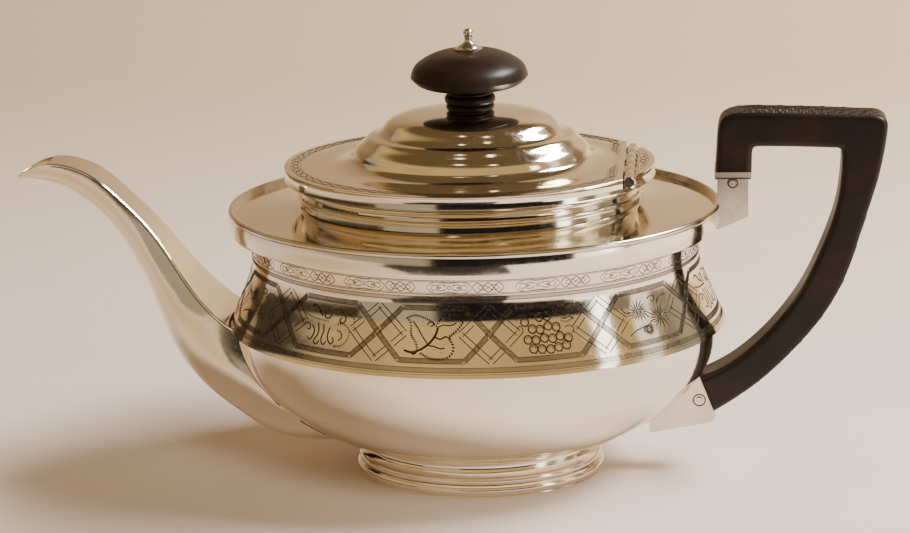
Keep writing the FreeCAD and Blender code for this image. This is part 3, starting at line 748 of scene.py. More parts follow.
def build_handle():
    """Wooden handle: a square-sectioned loop with softened edges and carving along the top."""
    half = (handle_high[1] - handle_low[1]) / 2
    rings = []
    frames = []
    for out, into in zip(*handle_rails()):
        depth = np.linalg.norm(out - into)
        across = (out - into) / depth
        section = handle_section(half, depth)
        u, v = section.T
        rings.append(np.stack([into[0] + v * across[0], u, into[1] + v * across[1]], 1))
        frames.append((section, across, depth))
    carve_leaf(rings, frames, half)
    new_piece("handle_wood", *loft(rings), "pot", ["handle"], WOOD, "ebonised_wood")


def carve_leaf(rings, frames, half):
    """Sinks overlapping scales into the top of the bar, deepest at each scale's tip."""
    start_x, end_x = 85.0, 131.0
    pitch, rows = 3.4, 5
    cell_width = 2 * half / rows
    depth_cut = 0.75
    for ring, (outline, across, depth) in zip(rings, frames):
        top = outline[:, 1] > depth - 0.6
        x = ring[:, 0]
        u = outline[:, 0]
        along = (x - start_x) / pitch + 0.55 * np.abs(u) / cell_width
        shifted = u / cell_width + 0.5 * (np.floor(along) % 2)
        fraction = along - np.floor(along)
        ridge = np.abs(shifted - np.floor(shifted) - 0.5) * 2
        scale = fraction ** 0.8 * (1 - 0.55 * ridge ** 2)
        fade = np.clip((x - start_x) / 6, 0, 1) * np.clip((end_x + 4 - x) / 4, 0, 1)
        edge = np.clip((half - 0.7 - np.abs(u)) / 0.8, 0, 1)
        sink = depth_cut * (1 - scale) * fade * edge * top
        ring[:, 0] -= sink * across[0]
        ring[:, 2] -= sink * across[1]


# ---- sockets ----

def dress_cad_node(node, material, bevel):
    """Keeps a CAD node, softens its edges and gives it a material."""
    piece = frame["nodes"][node]
    piece.data.materials.clear()
    piece.data.materials.append(material)
    if bevel:
        weld = piece.modifiers.new("weld", "WELD")
        weld.merge_threshold = 1e-6
        edge = piece.modifiers.new("soft_edges", "BEVEL")
        edge.width = bevel * MM
        edge.segments = 2
        edge.angle_limit = math.radians(38)


def build_sockets():
    """Sockets, bands and pins of the handle, the knob's fastening, the hinge pin and the lid's bezel."""
    for node, material, bevel in (
            ("upper_socket", SILVER_SMALL, 0.7), ("upper_socket_band", SILVER_SMALL, 0.45),
            ("lower_socket", SILVER_SMALL, 0.8), ("upper_socket_pin", SILVER_SMALL, 0.3),
            ("lower_socket_pin", SILVER_SMALL, 0.3), ("knob_bolt", STEEL, 0.15),
            ("knob_washer", STEEL, 0.15), ("knob_nut", STEEL, 0.15),
            ("hinge_pin", SILVER_SMALL, 0.1), ("lid_bezel", SILVER, 0.0)):
        dress_cad_node(node, material, bevel)


def build_socket_lines():
    """Dark lines round the mouldings of the sockets and rings round their pins."""
    (left, front, _), (right, back, top) = mm_box("upper_socket_band")
    level = top - 2.0
    loop = [(left, front), (right, front), (right, back), (left, back)]
    for k in range(4):
        start, end = np.array(loop[k]), np.array(loop[(k + 1) % 4])
        along = (end - start) / np.linalg.norm(end - start)
        out = np.array([along[1], -along[0]])
        ends = [start + 0.5 * along, (start + end) / 2, end - 0.5 * along]
        path = [(x, y, level) for x, y in ends]
        seam("seam_upper_socket_" + str(k), path, [(out[0], out[1], 0)] * 3, 0.4)
    angle = np.linspace(0, 2 * np.pi, 25)
    for pin, socket, radius in (("upper_socket_pin", "upper_socket_band", 1.55),
                                ("lower_socket_pin", "lower_socket", 2.0)):
        x, z = (sum(mm_box(pin)) / 2)[[0, 2]]
        for side, end, corner in ((-1, "_front", 0), (1, "_back", 1)):
            y = np.full(len(angle), mm_box(socket)[corner][1])
            path = np.stack([x + radius * np.cos(angle), y, z + radius * np.sin(angle)], 1)
            seam("seam_" + pin + end, path, [(0, side, 0)] * len(angle), 0.35)


# ---- engraving ----

class Engraving:
    """Collects cuts drawn on a flat pattern and lays them on a surface.

    Each cut is a slim closed prism standing a few hundredths of a millimetre over the sheet.
    Outlines get a V-shaped top, whose two facets catch the light as a graver's cut does;
    hatching gets a plain flat one."""

    LIP = 0.05
    GROOVE = 0.006
    ROOT = -0.09
    SECTIONS = {"line": [(-1, ROOT), (-1, LIP), (0, GROOVE), (1, LIP), (1, ROOT)],
                "hatch": [(-1, ROOT), (-0.8, 0.6 * LIP), (0.8, 0.6 * LIP), (1, ROOT)]}

    def __init__(self, lay, bold=1.3):
        self.lay = lay
        self.bold = bold
        self.vertices = []
        self.faces = []

    def cut(self, points, width, kind="line", taper=True):
        """One stroke along pattern points."""
        place, normal = self.lay(np.asarray(points, float))
        run = np.gradient(place, axis=0)
        side = np.cross(run, normal)
        side /= np.maximum(np.linalg.norm(side, axis=1)[:, None], 1e-9)
        half = np.full(len(place), width * self.bold / 2)
        if taper:
            half[0] *= 0.35
            half[-1] *= 0.35
        rings = [[at + across * w * reach + up * h for w, h in self.SECTIONS[kind]]
                 for at, across, up, reach in zip(place, side, normal, half)]
        add_loft(self.vertices, self.faces, rings)

    def curve(self, points, width, count=None):
        """A smooth stroke through a few points."""
        points = np.asarray(points, float)
        self.cut(spline(points, count or 5 * len(points)), width)

    def straight(self, start, end, width, step=1.6):
        """A straight stroke, divided so that it follows the surface."""
        start, end = np.asarray(start, float), np.asarray(end, float)
        count = max(2, int(np.linalg.norm(end - start) / step) + 1)
        share = np.linspace(0, 1, count)[:, None]
        self.cut(start + (end - start) * share, width, taper=False)

    def ring(self, centre, radius, width, count=14, turn=1.0):
        """A ring, or part of one."""
        angle = np.linspace(0, 2 * np.pi * turn, count)
        self.cut(centre + radius * np.stack([np.cos(angle), np.sin(angle)], 1), width, taper=False)

    def dashes(self, points, length, width, lean, step):
        """Short slanting cuts along a curve: a bright-cut leaf edge."""
        path = spline(points, 200)
        along = lengths(path)

        def point(at):
            return np.array([np.interp(at, along, path[:, k]) for k in (0, 1)])

        for at in np.arange(step / 2, along[-1], step):
            here = point(at)
            ahead = point(at + 0.2) - here
            angle = math.atan2(ahead[1], ahead[0]) + math.radians(lean)
            tip = here + length * np.array([math.cos(angle), math.sin(angle)])
            self.cut([here, (here + tip) / 2, tip], width)

    def build(self, name, body, material=None):
        mesh = mesh_in_mm(name, self.vertices, self.faces, weld=False)
        finish_piece(name, mesh, body, [], material or CUTS, sharp=math.radians(5))


PERIMETER = 438.0                # length of the pattern round the band
CARTOUCHES = 12
PITCH = PERIMETER / CARTOUCHES
FIRST_CARTOUCHE = -8.5           # centre of the first cartouche, from the middle of the front
PATTERN_TOP, PATTERN_LOW = 74.4, 57.0
PATTERN_MID = (PATTERN_TOP + PATTERN_LOW) / 2
KNOT_REACH = 8.0                 # from the middle of a knot to the ends of the level borders
STRIP = 1.5                      # width of the hatched strips


def oval_angles():
    """Table of arc length against angle round the oval, from the middle of the front."""
    angle = np.linspace(-np.pi / 2, 1.5 * np.pi, 4001)
    point = np.stack([np.cos(angle), OVAL * np.sin(angle)], 1)
    length = lengths(point)
    return length / length[-1] * PERIMETER, angle


ARC_TABLE = oval_angles()


def lay_on_oval(profile):
    """A function that puts (arc, height) pattern points on the turned oval surface of a profile."""
    curve = spline(profile, 160)
    slope = np.gradient(curve[:, 0], curve[:, 1])

    def lay(points):
        angle = np.interp(points[:, 0] % PERIMETER, *ARC_TABLE)
        a = np.interp(points[:, 1], curve[:, 1], curve[:, 0])
        lean = np.interp(points[:, 1], curve[:, 1], slope)
        place = np.stack([a * np.cos(angle), OVAL * a * np.sin(angle), points[:, 1]], 1)
        normal = np.stack([np.cos(angle), np.sin(angle) / OVAL, -lean], 1)
        normal /= np.linalg.norm(normal, axis=1)[:, None]
        return place, normal
    return lay


def hatched_strip(work, start, end, width, spacing=0.52, skip=None):
    """A strip between two fine lines, filled with slanting hatches."""
    start, end = np.asarray(start, float), np.asarray(end, float)
    run = end - start
    length = np.linalg.norm(run)
    run /= length
    across = np.array([-run[1], run[0]])
    for side in (-0.5, 0.5):
        work.straight(start + across * width * side, end + across * width * side, 0.14)
    lean = 0.45 * width
    for at in np.arange(spacing / 2, length, spacing):
        middle = start + run * at
        if skip is not None and np.linalg.norm(middle - skip[0]) < skip[1]:
            continue
        low = middle - across * width * 0.45 - run * lean
        high = middle + across * width * 0.45 + run * lean
        work.cut([low, high], 0.19, "hatch", taper=False)


def double_line(work, start, end, width, gaps):
    """A plain strip drawn as two lines, interrupted where another strip passes over it."""
    start, end = np.asarray(start, float), np.asarray(end, float)
    run = (end - start) / np.linalg.norm(end - start)
    across = np.array([-run[1], run[0]])
    marks = [0.0] + [value for gap in gaps for value in gap] + [1.0]
    for first, last in zip(marks[::2], marks[1::2]):
        for side in (-0.5, 0.5):
            work.straight(start + (end - start) * first + across * width * side,
                          start + (end - start) * last + across * width * side, 0.2)


def engrave_borders(work):
    """Hatched strips of the cartouches, the knots between them and the level strips above and below."""
    for i in range(CARTOUCHES):
        centre = FIRST_CARTOUCHE + i * PITCH
        knot = centre + PITCH / 2
        left, right = centre - PITCH / 2 + KNOT_REACH, knot - KNOT_REACH
        high, low = PATTERN_TOP - STRIP / 2, PATTERN_LOW + STRIP / 2
        for z in (high, low):
            hatched_strip(work, (left, z), (right, z), STRIP)
        middle = np.array([knot, PATTERN_MID])
        hatched_strip(work, (right, high), (knot + KNOT_REACH, low), STRIP)
        hatched_strip(work, (right, low), (knot + KNOT_REACH, high), STRIP, skip=(middle, 1.1))
        reach, rise = 9.2, 8.2
        corners = [middle + d for d in ((0, rise), (reach, 0), (0, -rise), (-reach, 0))]
        for k in range(4):
            gaps = [(0.40, 0.60)] if k % 2 else []
            double_line(work, corners[k], corners[(k + 1) % 4], 1.7, gaps)


def engrave_levels(work):
    """The hatched strips and fine lines that run right round the band."""
    count = 180
    around = np.linspace(0, PERIMETER, count + 1)
    for z, width in ((82.7, 0.16), (82.3, 0.1), (78.5, 0.12), (78.1, 0.16), (77.35, 0.14), (76.1, 0.14),
                     (55.75, 0.14), (54.3, 0.14), (53.7, 0.1)):
        for i in range(count):
            work.cut([(around[i], z), (around[i + 1] + 0.01, z)], width, taper=False)
    for low, high in ((76.1, 77.35), (54.3, 55.75)):
        for s in np.arange(0, PERIMETER, 0.55):
            work.cut([(s, low + 0.05), (s + 0.8, high - 0.05)], 0.2, "hatch", taper=False)


def engrave_frieze(work):
    """Narrow border under the gallery: pointed panels of scrolls between crossed lozenges."""
    panels = 15
    pitch = PERIMETER / panels
    low, high = 78.6, 82.2
    middle = (low + high) / 2
    for i in range(panels):
        c = i * pitch - 3.0
        for up in (1, -1):
            tall = up * (high - middle - 0.25)
            for marks, width, count in (
                    (((-7.6, 0), (-5.8, 1), (0, 1), (5.8, 1), (7.6, 0)), 0.16, 16),
                    (((7.6, 0), (9.4, -1), (11.1, 0), (12.9, 1), (14.7, 0), (16.4, -1), (18.0, 0)), 0.2, 26),
                    (((9.2, 0), (10.9, 0.6), (12.9, 0), (14.6, -0.6), (16.6, 0)), 0.14, 18)):
                work.curve([(c + x, middle + tall * z) for x, z in marks], width, count)
            for side in (1, -1):
                for marks, width, count in (
                        (((1.0, 0.3), (2.4, 1.0), (3.9, 0.4), (3.2, -0.3), (2.6, 0.2)), 0.17, 16),
                        (((3.9, 0.3), (5.2, 0.9), (6.1, 0.1)), 0.15, 10)):
                    work.curve([(c + side * x, middle + up * z) for x, z in marks], width, count)
        work.ring((c, middle), 0.55, 0.15, 10)
        for k in range(-3, 4):
            work.cut([(c + k * 0.45, middle + 0.75), (c + k * 0.62, middle + 1.3)], 0.13, "hatch")


def draw_strokes(work, c, m, flip, strokes):
    """Strokes about the centre of a cartouche: curves (points, width[, count]) and
    dashed edges (points, length, width, lean, step)."""
    for points, *how in strokes:
        draw = work.dashes if len(how) == 4 else work.curve
        draw([(c + flip * x, m + z) for x, z in points], *how)


def leaf_spray(work, c, m, flip):
    """Bright-cut leaves on a curving stem."""
    draw_strokes(work, c, m, flip, [
        (((1.8, 2.4), (1.2, 0.2), (-0.8, -2.6), (-4.4, -5.0), (-6.4, -5.5), (-9.0, -4.9)), 0.42, 26),
        (((-4.6, -5.1), (-5.6, -6.0), (-6.6, -5.6)), 0.3),
        (((-9.3, 4.6), (-7.8, 3.2), (-7.2, -0.6), (-5.6, -2.8), (-5.0, -4.8)), 0.95, 0.34, 60, 0.78),
        (((-9.3, 4.6), (-6.2, 5.9), (-3.0, 5.3), (-0.4, 4.2), (1.6, 2.6)), 0.85, 0.3, -60, 0.75),
        (((9.6, 4.4), (7.2, 1.2), (5.0, -1.0), (6.3, -3.6), (5.3, -6.1), (2.4, -7.0), (-0.4, -6.7),
          (-3.2, -5.4)), 1.0, 0.4, 62, 0.82),
        (((9.6, 4.4), (6.4, 5.6), (3.6, 4.9), (1.9, 3.0)), 0.85, 0.3, -60, 0.75),
        (((0.9, -0.8), (2.0, -1.3), (3.2, -1.2), (4.3, -0.6), (5.0, -1.0)), 0.3),
        (((1.9, 2.2), (3.6, 2.8), (5.6, 2.7), (7.8, 3.6)), 0.24),
        (((-1.4, -2.9), (-3.2, -0.6), (-5.0, 2.0), (-6.8, 3.9)), 0.24),
        (((-1.2, -3.4), (0.8, -3.6), (2.6, -4.2), (4.2, -4.0)), 0.26),
    ])
    for x, z in ((-5.0, 0.4), (-3.6, 2.4), (-6.2, 2.0), (0.6, -4.8), (2.6, -5.6), (3.6, -3.2), (4.4, 3.6),
                 (6.4, 3.0)):
        work.cut([(c + flip * x, m + z), (c + flip * (x + 0.8), m + z + 0.25)], 0.22)
    draw_strokes(work, c, m, flip, [
        (((-1.8, 2.6), (-1.0, 3.6), (0.2, 3.4), (-0.2, 2.4), (-1.0, 2.6)), 0.24, 16),
    ])


def grapes(work, c, m, flip):
    """A bunch of grapes with tendrils."""
    for x, z in ((-6.8, 3.1), (-2.0, 4.3), (0.6, 4.4), (-4.6, 0.9), (-2.1, 0.6), (0.6, 1.5), (3.2, 1.0),
                 (-6.3, -2.2), (-3.8, -2.4), (-1.1, -2.0), (1.5, -2.3), (4.0, -1.8), (6.6, -2.5),
                 (-4.9, -5.0), (-2.3, -5.2), (0.4, -5.4), (3.0, -5.0), (5.6, -4.6)):
        centre = (c + flip * x, m + z)
        work.ring(centre, 1.28, 0.27, 15)
        work.ring(centre, 0.75, 0.13, 7, 0.45)
        work.cut([(centre[0] + 0.5, centre[1] - 1.5), (centre[0] + 0.8, centre[1] - 1.3)], 0.3)
    draw_strokes(work, c, m, flip, [
        (((3.2, 4.2), (5.0, 5.4), (6.8, 4.4), (6.0, 3.2), (5.2, 4.0)), 0.2, 14),
        (((6.4, 3.0), (8.2, 3.6), (9.6, 2.6)), 0.2, 14),
        (((-8.6, -0.8), (-7.6, 0.8), (-8.4, 2.0), (-9.4, 1.0)), 0.2, 14),
        (((6.0, 0.6), (7.8, 1.0), (8.8, -0.4), (7.8, -1.2)), 0.2, 14),
        (((4.6, 2.6), (7.0, 1.9), (9.8, 3.2)), 0.7, 0.2, 70, 0.6),
        (((-9.8, 3.6), (-8.4, 5.4), (-5.2, 5.4), (-3.6, 5.8)), 0.7, 0.2, -70, 0.6),
    ])


def floral_spray(work, c, m, flip):
    """Three feathery flower heads on crossing stems."""
    petals = 17
    for x, z, size in ((-3.6, 1.6, 4.2), (4.2, -1.2, 4.6), (-1.6, -4.2, 2.6)):
        centre = np.array([c + flip * x, m + z])
        for k in range(petals):
            angle = 2 * math.pi * k / petals
            reach = size * (1.0 + 0.16 * math.cos(3 * angle + x))
            ray = np.array([math.cos(angle), 0.72 * math.sin(angle)])
            bend = np.array([-ray[1], ray[0]]) * 0.35
            work.cut([centre + ray * 0.9, centre + ray * reach * 0.55 + bend, centre + ray * reach], 0.3)
            work.cut([centre + ray * (reach + 0.35), centre + ray * (reach + 0.75)], 0.3)
        work.ring(centre, 0.75, 0.2, 11)
        work.ring(centre, 0.3, 0.16, 8)
    draw_strokes(work, c, m, flip, [
        (((-9.4, -5.2), (-5.6, -3.6), (-1.0, -2.8), (1.2, -1.6)), 0.26, 16),
        (((9.6, 4.6), (6.4, 4.4), (4.6, 2.6)), 0.26, 16),
        (((-9.8, 3.6), (-8.6, 1.8), (-6.8, 1.6)), 0.26, 16),
        (((1.0, 4.6), (2.6, 5.4), (4.2, 4.8), (3.4, 3.6), (2.4, 4.2)), 0.26, 16),
    ])


def scrolls(work, c, m, flip):
    """C and S scrolls with a ring and a scalloped leaf."""
    draw_strokes(work, c, m, flip, [
        (((-7.4, 4.6), (-6.6, 5.4), (-5.0, 5.0), (-3.6, 3.4), (-2.4, 2.4)), 0.36, 18),
    ])
    work.ring((c + flip * -0.6, m + 3.3), 1.35, 0.28, 15)
    draw_strokes(work, c, m, flip, [
        (((-9.6, -1.6), (-8.2, -0.4), (-6.6, -1.0), (-6.8, -2.2), (-7.8, -2.0)), 0.24, 18),
        (((-6.0, -0.6), (-4.8, -1.8), (-4.8, -4.0), (-5.8, -5.2), (-6.8, -4.4)), 0.26, 18),
        (((-3.8, 0.4), (-3.0, -1.6), (-3.2, -3.8), (-4.0, -5.6), (-2.8, -6.2), (-2.0, -4.8)), 0.26, 20),
        (((-1.6, 0.2), (-1.0, -2.2), (-1.2, -5.0), (-0.2, -6.0), (0.8, -4.6)), 0.26, 18),
        (((1.2, -0.4), (0.8, -2.6), (1.6, -4.8), (2.8, -5.4), (3.2, -4.0), (2.4, -3.4)), 0.26, 20),
        (((1.0, 4.8), (3.0, 5.2), (5.2, 4.2), (6.4, 2.4), (5.4, 1.2), (4.2, 2.0), (5.0, 2.8)), 0.28, 24),
        (((3.6, 0.2), (5.6, 0.6), (7.8, -0.6), (8.0, -3.0), (6.2, -5.2), (4.0, -5.6)), 0.8, 0.26, 64, 0.7),
        (((3.8, -1.2), (5.4, -1.6), (6.0, -3.2), (4.8, -4.2)), 0.22, 14),
        (((-9.8, 2.2), (-8.0, 1.6), (-5.6, 1.2), (-3.0, 1.0), (0.0, 0.9)), 0.6, 0.18, 75, 0.6),
        (((6.6, 4.0), (8.4, 3.4), (9.8, 1.6)), 0.7, 0.24, 60, 0.65),
    ])


def build_band_engraving():
    """All the engraving of the waist band, in three pieces."""
    lay = lay_on_oval(BAND_OUTLINE)
    borders = Engraving(lay, 1.55)
    engrave_borders(borders)
    borders.build("engraving_borders", "pot")
    levels = Engraving(lay)
    engrave_levels(levels)
    engrave_frieze(levels)
    levels.build("engraving_levels", "pot")
    motifs = Engraving(lay, 1.7)
    drawings = (leaf_spray, grapes, floral_spray, scrolls)
    for i in range(CARTOUCHES):
        draw = drawings[i % len(drawings)]
        draw(motifs, FIRST_CARTOUCHE + i * PITCH, PATTERN_MID, 1 if i < 2 else (-1) ** (i // 4))
    motifs.build("engraving_motifs", "pot")


def seam(name, path, normals, width, body="pot"):
    """The dark hairline of a soldered joint."""
    path, normals = np.asarray(path, float), np.asarray(normals, float)
    line = Engraving(lambda points: (path, normals))
    line.cut(path, width, taper=False)
    line.build(name, body, JOINT_AND_SHADE)


def body_radius(z):
    """Distance of the body from its middle along X, at a height."""
    outline = BOWL_OUTLINE if z < RIDGE_Z else BAND_OUTLINE
    curve = spline(outline, 200)
    return np.interp(z, curve[:, 1], curve[:, 0])


def spout_root_path():
    """Where the spout meets the body: the crossing of every lengthwise line of the spout with the body."""
    sections = np.array([spout_section(station) for station in spline(SPOUT_STATIONS, 150)])
    radii = np.linspace(BOWL_FLOOR, WAIST_TOP, 300)
    table = np.array([body_radius(z) for z in radii])
    places, normals = [], []
    for k in range(sections.shape[1]):
        line = sections[:, k]
        inside = np.interp(line[:, 2], radii, table) - np.hypot(line[:, 0], line[:, 1] / OVAL)
        within = np.nonzero(inside[1:] > 0)[0]
        if len(within) == 0 or inside[within[0]] >= 0:
            continue
        i = within[0]
        share = inside[i] / (inside[i] - inside[i + 1])
        place = line[i] + share * (line[i + 1] - line[i])
        normal = np.array([place[0], place[1] / OVAL ** 2, -0.35 * abs(place[0])])
        normal /= np.linalg.norm(normal)
        outward = np.array([-0.3, np.sign(place[1]), 0.0])
        normal = normal + 0.8 * outward
        places.append(place)
        normals.append(normal / np.linalg.norm(normal))
    places, normals = np.array(places), np.array(normals)
    return places + 0.12 * normals, normals


def build_seams():
    """Joint lines: spout against its plate, where the dark line is partly painted shade under the plate's
    proud edge, bowl under the ridge, gallery over the waist.
    """
    # Painted shade in part: the dark line along each side of the spout plate stands for the joint and for the
    # shade under the plate's proud edge.
    for side, name in ((-1, "front"), (1, "back")):
        path, normals = [], []
        for station in spline(SPOUT_STATIONS, SPOUT_RINGS):
            if station[0] < SPOUT_STATIONS[SPOUT_MOUTH][0] + 0.3 or station[0] > -80.5:
                continue
            top, down = spout_axes(station)[:2]
            path.append(top + np.array([0, side * (station[4] + 0.06), 0]) + 0.4 * down)
            normals.append((0, side, 0))
        seam("seam_spout_" + name, path, normals, 0.55)
    seam("seam_spout_root", *spout_root_path(), 0.6)
    angle = np.linspace(0, 2 * np.pi, 361)
    for name, a, z, lean in (("ridge", BOWL_A + 0.02, RIDGE_Z - 0.25, 0.1),
                             ("gallery", WAIST_A + 0.04, WAIST_TOP - 0.2, 0.0)):
        path = np.stack([a * np.cos(angle), OVAL * a * np.sin(angle), np.full(len(angle), z)], 1)
        normals = np.stack([np.cos(angle), np.sin(angle) / OVAL, np.full(len(angle), -lean)], 1)
        normals /= np.linalg.norm(normals, axis=1)[:, None]
        seam("seam_" + name, path, normals, 0.3)


def build_lid_engraving():
    """Chain border round the flange, carried across in front of the hinge, and on its fixed end."""
    inner, outer = LID_A - 5.4, LID_A - 2.2
    middle = (inner + outer) / 2
    links = 66
    chord_x = LID_CUT - 2.2

    def lay(points):
        normal = np.zeros((len(points), 3))
        normal[:, 2] = 1
        return np.stack([points[:, 0], points[:, 1], np.full(len(points), LID_TOP)], 1), normal

    def on_oval(angle, a):
        return LID_SHIFT + a * math.cos(angle), OVAL * a * math.sin(angle)

    moving, fixed = Engraving(lay), Engraving(lay)
    steps = 12
    samples = links * steps
    pieces = 240
    for phase in (0.0, math.pi):
        for start in range(0, samples, steps):
            stroke = []
            for k in range(start, start + steps + 1):
                angle = 2 * math.pi * k / samples
                stroke.append(on_oval(angle, middle + 1.05 * math.sin(links * angle / 2 + phase)))
            store_by_side(stroke, moving, fixed, chord_x, 0.22)
    for a in (inner, outer):
        for k in range(pieces):
            ends = [on_oval(2 * math.pi * (k + share) / pieces, a) for share in (0, 1.02)]
            store_by_side(ends, moving, fixed, chord_x, 0.12)
    reach = OVAL * math.sqrt(max(middle ** 2 - (chord_x - LID_SHIFT) ** 2, 0))
    for phase in (0.0, math.pi):
        y = np.arange(-reach, reach, 0.35)
        moving.cut(np.stack([chord_x - 1.5 + 0.95 * np.sin(math.pi * y / 2.75 + phase), y], 1), 0.22)
    for x in (chord_x, chord_x - 3.0):
        moving.straight((x, -reach), (x, reach), 0.12)
    moving.build("engraving_lid", "lid")
    fixed.build("engraving_fixed_plate", "pot")


def store_by_side(stroke, moving, fixed, chord_x, width):
    """Keeps a stroke if it lies wholly on the lid or wholly on the fixed plate."""
    xs = [point[0] for point in stroke]
    if max(xs) < chord_x:
        moving.cut(stroke, width, taper=False)
    elif min(xs) > PLATE_CUT + 0.8:
        fixed.cut(stroke, width, taper=False)


# ---- camera, light and stage ----

def plain_material(name, colour):
    """Matt paper with a faint mottle."""
    n = Nodes(name)
    tint = n.mix(n.ramp(n.noise(3, 4), 0.3, 0.7), colour, tuple(c * 0.97 for c in colour[:3]) + (1,))
    return n.finish({"Base Color": tint, "Roughness": 0.8, "Specular IOR Level": 0.2})


def backdrop_material():
    """Pale table cloth that turns into a tan wall further up, with painted shade in a brown patch on the
    table to the front left.
    """
    n = Nodes("backdrop_paper")
    place = n.add("ShaderNodeSeparateXYZ", {"Vector": n.place()}).outputs
    colour = n.mix(n.ramp(place["Y"], 0.0, 0.62), (0.80, 0.71, 0.665, 1), (0.64, 0.52, 0.36, 1))
    colour = n.mix(n.ramp(place["Z"], 0.05, 0.35), colour, (0.40, 0.31, 0.21, 1))
    # Painted shade: the table turns brown round a point to its front left, standing in for shade that falls
    # there.
    corner = n.add("ShaderNodeVectorMath", {0: n.place(), 1: (-0.24, -0.17, 0.0)}, operation="DISTANCE")
    away_from_painted_shade = n.ramp(corner.outputs["Value"], 0.05, 0.26)
    colour = n.mix(away_from_painted_shade, (0.56, 0.43, 0.29, 1), colour)
    colour = n.mix(n.math("MULTIPLY", n.ramp(n.noise(14, 4), 0.4, 0.7), 0.10), colour, (0.58, 0.47, 0.38, 1))
    n.finish({"Base Color": colour, "Roughness": 0.85, "Specular IOR Level": 0.15})
    paper = n.output.inputs["Surface"].links[0].from_socket
    behind = n.add("ShaderNodeNewGeometry").outputs["Backfacing"]
    clear = n.add("ShaderNodeBsdfTransparent").outputs["BSDF"]
    seen = n.add("ShaderNodeMixShader", {0: behind, 1: paper, 2: clear}).outputs["Shader"]
    n.tree.links.new(seen, n.output.inputs["Surface"])
    return n.material


def build_stage():
    """Pale floor that curves up into a plain backdrop."""
    width = 2.6
    bend = 0.55
    turn = np.radians(np.arange(6, 90, 6))
    rows = [(-0.41, 0.0), (bend, 0.0)]
    rows += [(bend + bend * math.sin(a), bend - bend * math.cos(a)) for a in turn]
    rows += [(2 * bend, bend), (2 * bend, 1.5)]
    mesh = bpy.data.meshes.new("backdrop")
    mesh.from_pydata([(x, y, z) for y, z in rows for x in (-width, width)], [],
                     [[2 * i, 2 * i + 1, 2 * i + 3, 2 * i + 2] for i in range(len(rows) - 1)])
    mesh.shade_smooth()
    mesh.materials.append(backdrop_material())
    add_object("backdrop", mesh)


def build_dark_card():
    """A dark card lying on the table in front of the pot, seen only in the silver."""
    corners = [(-0.24, -0.41), (0.09, -0.41), (0.065, -0.24), (-0.09, -0.23), (-0.175, -0.28)]
    mesh = bpy.data.meshes.new("dark_card")
    mesh.from_pydata([(x, y, 0.0012) for x, y in corners], [], [list(range(len(corners)))])
    mesh.materials.append(plain_material("dark_card_paper", (0.012, 0.011, 0.012, 1)))
    card = add_object("dark_card", mesh)
    card.visible_camera = False
    card.visible_shadow = False
    card.visible_diffuse = False


def area_light(name, place, size, power, colour):
    """A rectangular light aimed at the pot."""
    light = bpy.data.lights.new(name, "AREA")
    light.shape = "RECTANGLE"
    light.size, light.size_y = size
    light.energy = power
    light.color = colour
    lamp = add_object(name, light)
    lamp.location = place
    aim = Vector((0, 0, 0.05)) - Vector(place)
    lamp.rotation_euler = aim.to_track_quat("-Z", "Y").to_euler()
    return lamp


def build_light():
    """Window light from the right, a weaker fill, and the room as the silver sees it."""
    area_light("window_right", (0.95, 0.14, 1.12), (0.8, 0.34), 46, (1.0, 0.945, 0.89))
    soft = area_light("soft_front", (0.55, -1.3, 1.5), (0.8, 0.6), 11, (1.0, 0.92, 0.80))
    soft.visible_glossy = False
    build_room()


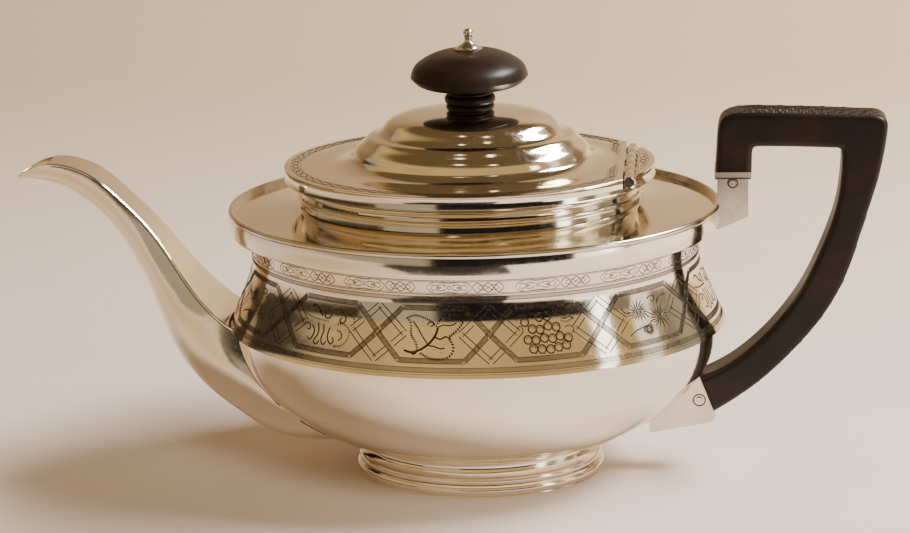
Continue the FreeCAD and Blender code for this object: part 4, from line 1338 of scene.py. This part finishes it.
def build_room():
    """World: tan walls, golden near ceiling, darker high ceiling, dark low corners, a few bright windows.

    Azimuth runs from +X towards +Y, in degrees; elevation is measured from the horizon."""
    n = Nodes("room", world=True)
    direction = n.add("ShaderNodeTexCoord").outputs["Generated"]
    parts = n.add("ShaderNodeSeparateXYZ", {"Vector": direction}).outputs
    degrees = 180 / math.pi
    azimuth = n.math("MULTIPLY", n.math("ARCTAN2", parts["Y"], parts["X"]), degrees)
    elevation = n.math("MULTIPLY", n.math("ARCSINE", parts["Z"]), degrees)

    def step(value, start, end):
        node = n.add("ShaderNodeMapRange", {"Value": value, "From Min": start, "From Max": end},
                     interpolation_type="SMOOTHSTEP")
        return node.outputs["Result"]

    def zone(azimuth_range, elevation_range, soft):
        result = n.math("MULTIPLY", step(azimuth, azimuth_range[0] - soft, azimuth_range[0]),
                        step(azimuth, azimuth_range[1] + soft, azimuth_range[1]))
        result = n.math("MULTIPLY", result, step(elevation, elevation_range[0] - soft, elevation_range[0]))
        return n.math("MULTIPLY", result, step(elevation, elevation_range[1] + soft, elevation_range[1]))

    dark_corner = (0.06, 0.043, 0.026, 1)
    wall = (0.50, 0.395, 0.275, 1)
    near_ceiling = (0.74, 0.50, 0.205, 1)
    high_ceiling = (0.14, 0.092, 0.04, 1)
    front = n.math("SUBTRACT", 1.0, n.math("GREATER_THAN", parts["Y"], 0.0))
    start = n.math("SUBTRACT", 30.0, n.math("MULTIPLY", front, 18.0))
    rise = n.math("DIVIDE", n.math("SUBTRACT", elevation, start), 5.0)
    colour = n.mix(step(rise, 0.0, 1.0), wall, near_ceiling)
    colour = n.mix(step(elevation, 36, 50), colour, high_ceiling)
    mottled = n.ramp(n.noise(2.2, 3, direction), 0.35, 0.7)
    colour = n.mix(n.math("MULTIPLY", mottled, 0.25), colour, (0.15, 0.10, 0.045, 1))
    for azimuths, elevations, soft, tint in (
            ((-181, -138), (1, 11), 4, dark_corner),
            ((145, 181), (1, 11), 4, dark_corner),
            ((-28, 5), (0, 12), 4, (0.28, 0.21, 0.13, 1)),
            ((-104, -42), (-90, 11), 2.5, (0.014, 0.012, 0.012, 1)),
            ((-50, -30), (-26, -6), 3, (3.4, 2.7, 1.9, 1)),
            ((-39, -33), (-6, 26), 2.0, (5.2, 5.0, 4.7, 1)),
            ((-17, -8), (-6, 34), 3, (1.6, 1.4, 1.1, 1)),
            ((-108, -104), (61, 63), 2, (7.0, 6.0, 4.2, 1)),
            ((-71, -67), (56, 58), 2, (7.0, 6.0, 4.2, 1))):
        colour = n.mix(zone(azimuths, elevations, soft), colour, tint)
    seen = n.add("ShaderNodeLightPath").outputs["Is Camera Ray"]
    colour = n.mix(seen, colour, (0.58, 0.49, 0.38, 1))
    background = n.add("ShaderNodeBackground", {"Color": colour, "Strength": 1.0})
    n.tree.links.new(background.outputs["Background"], n.output.inputs["Surface"])
    bpy.context.scene.world = n.material


def build_camera():
    """Camera slightly above the pot, from a little towards the handle side."""
    place = Vector((0.0757, -0.7964, 0.3071))
    forward = Vector((-0.0987, 0.9538, -0.2837)).normalized()
    roll = math.radians(1.82)
    right = forward.cross(Vector((0, 0, 1))).normalized()
    up = right.cross(forward)
    tilted_right = right * math.cos(roll) - up * math.sin(roll)
    tilted_up = right * math.sin(roll) + up * math.cos(roll)
    camera_data = bpy.data.cameras.new("camera")
    camera_data.sensor_width = 36
    camera_data.lens = 98.624286
    camera_data.clip_start = 0.05
    camera = add_object("camera", camera_data)
    turn = Matrix((tilted_right, tilted_up, -forward)).transposed()
    camera.matrix_world = Matrix.Translation(place) @ turn.to_4x4()
    bpy.context.scene.camera = camera


# ---- build ----

for build in (build_foot, build_bowl, build_band, build_gallery, build_shoulder, build_collar, build_spout,
              build_spout_plate, build_lid, build_hinge, build_knob, build_handle, build_sockets,
              build_band_engraving, build_lid_engraving, build_seams, build_socket_lines, build_stage,
              build_dark_card, build_light, build_camera):
    build()
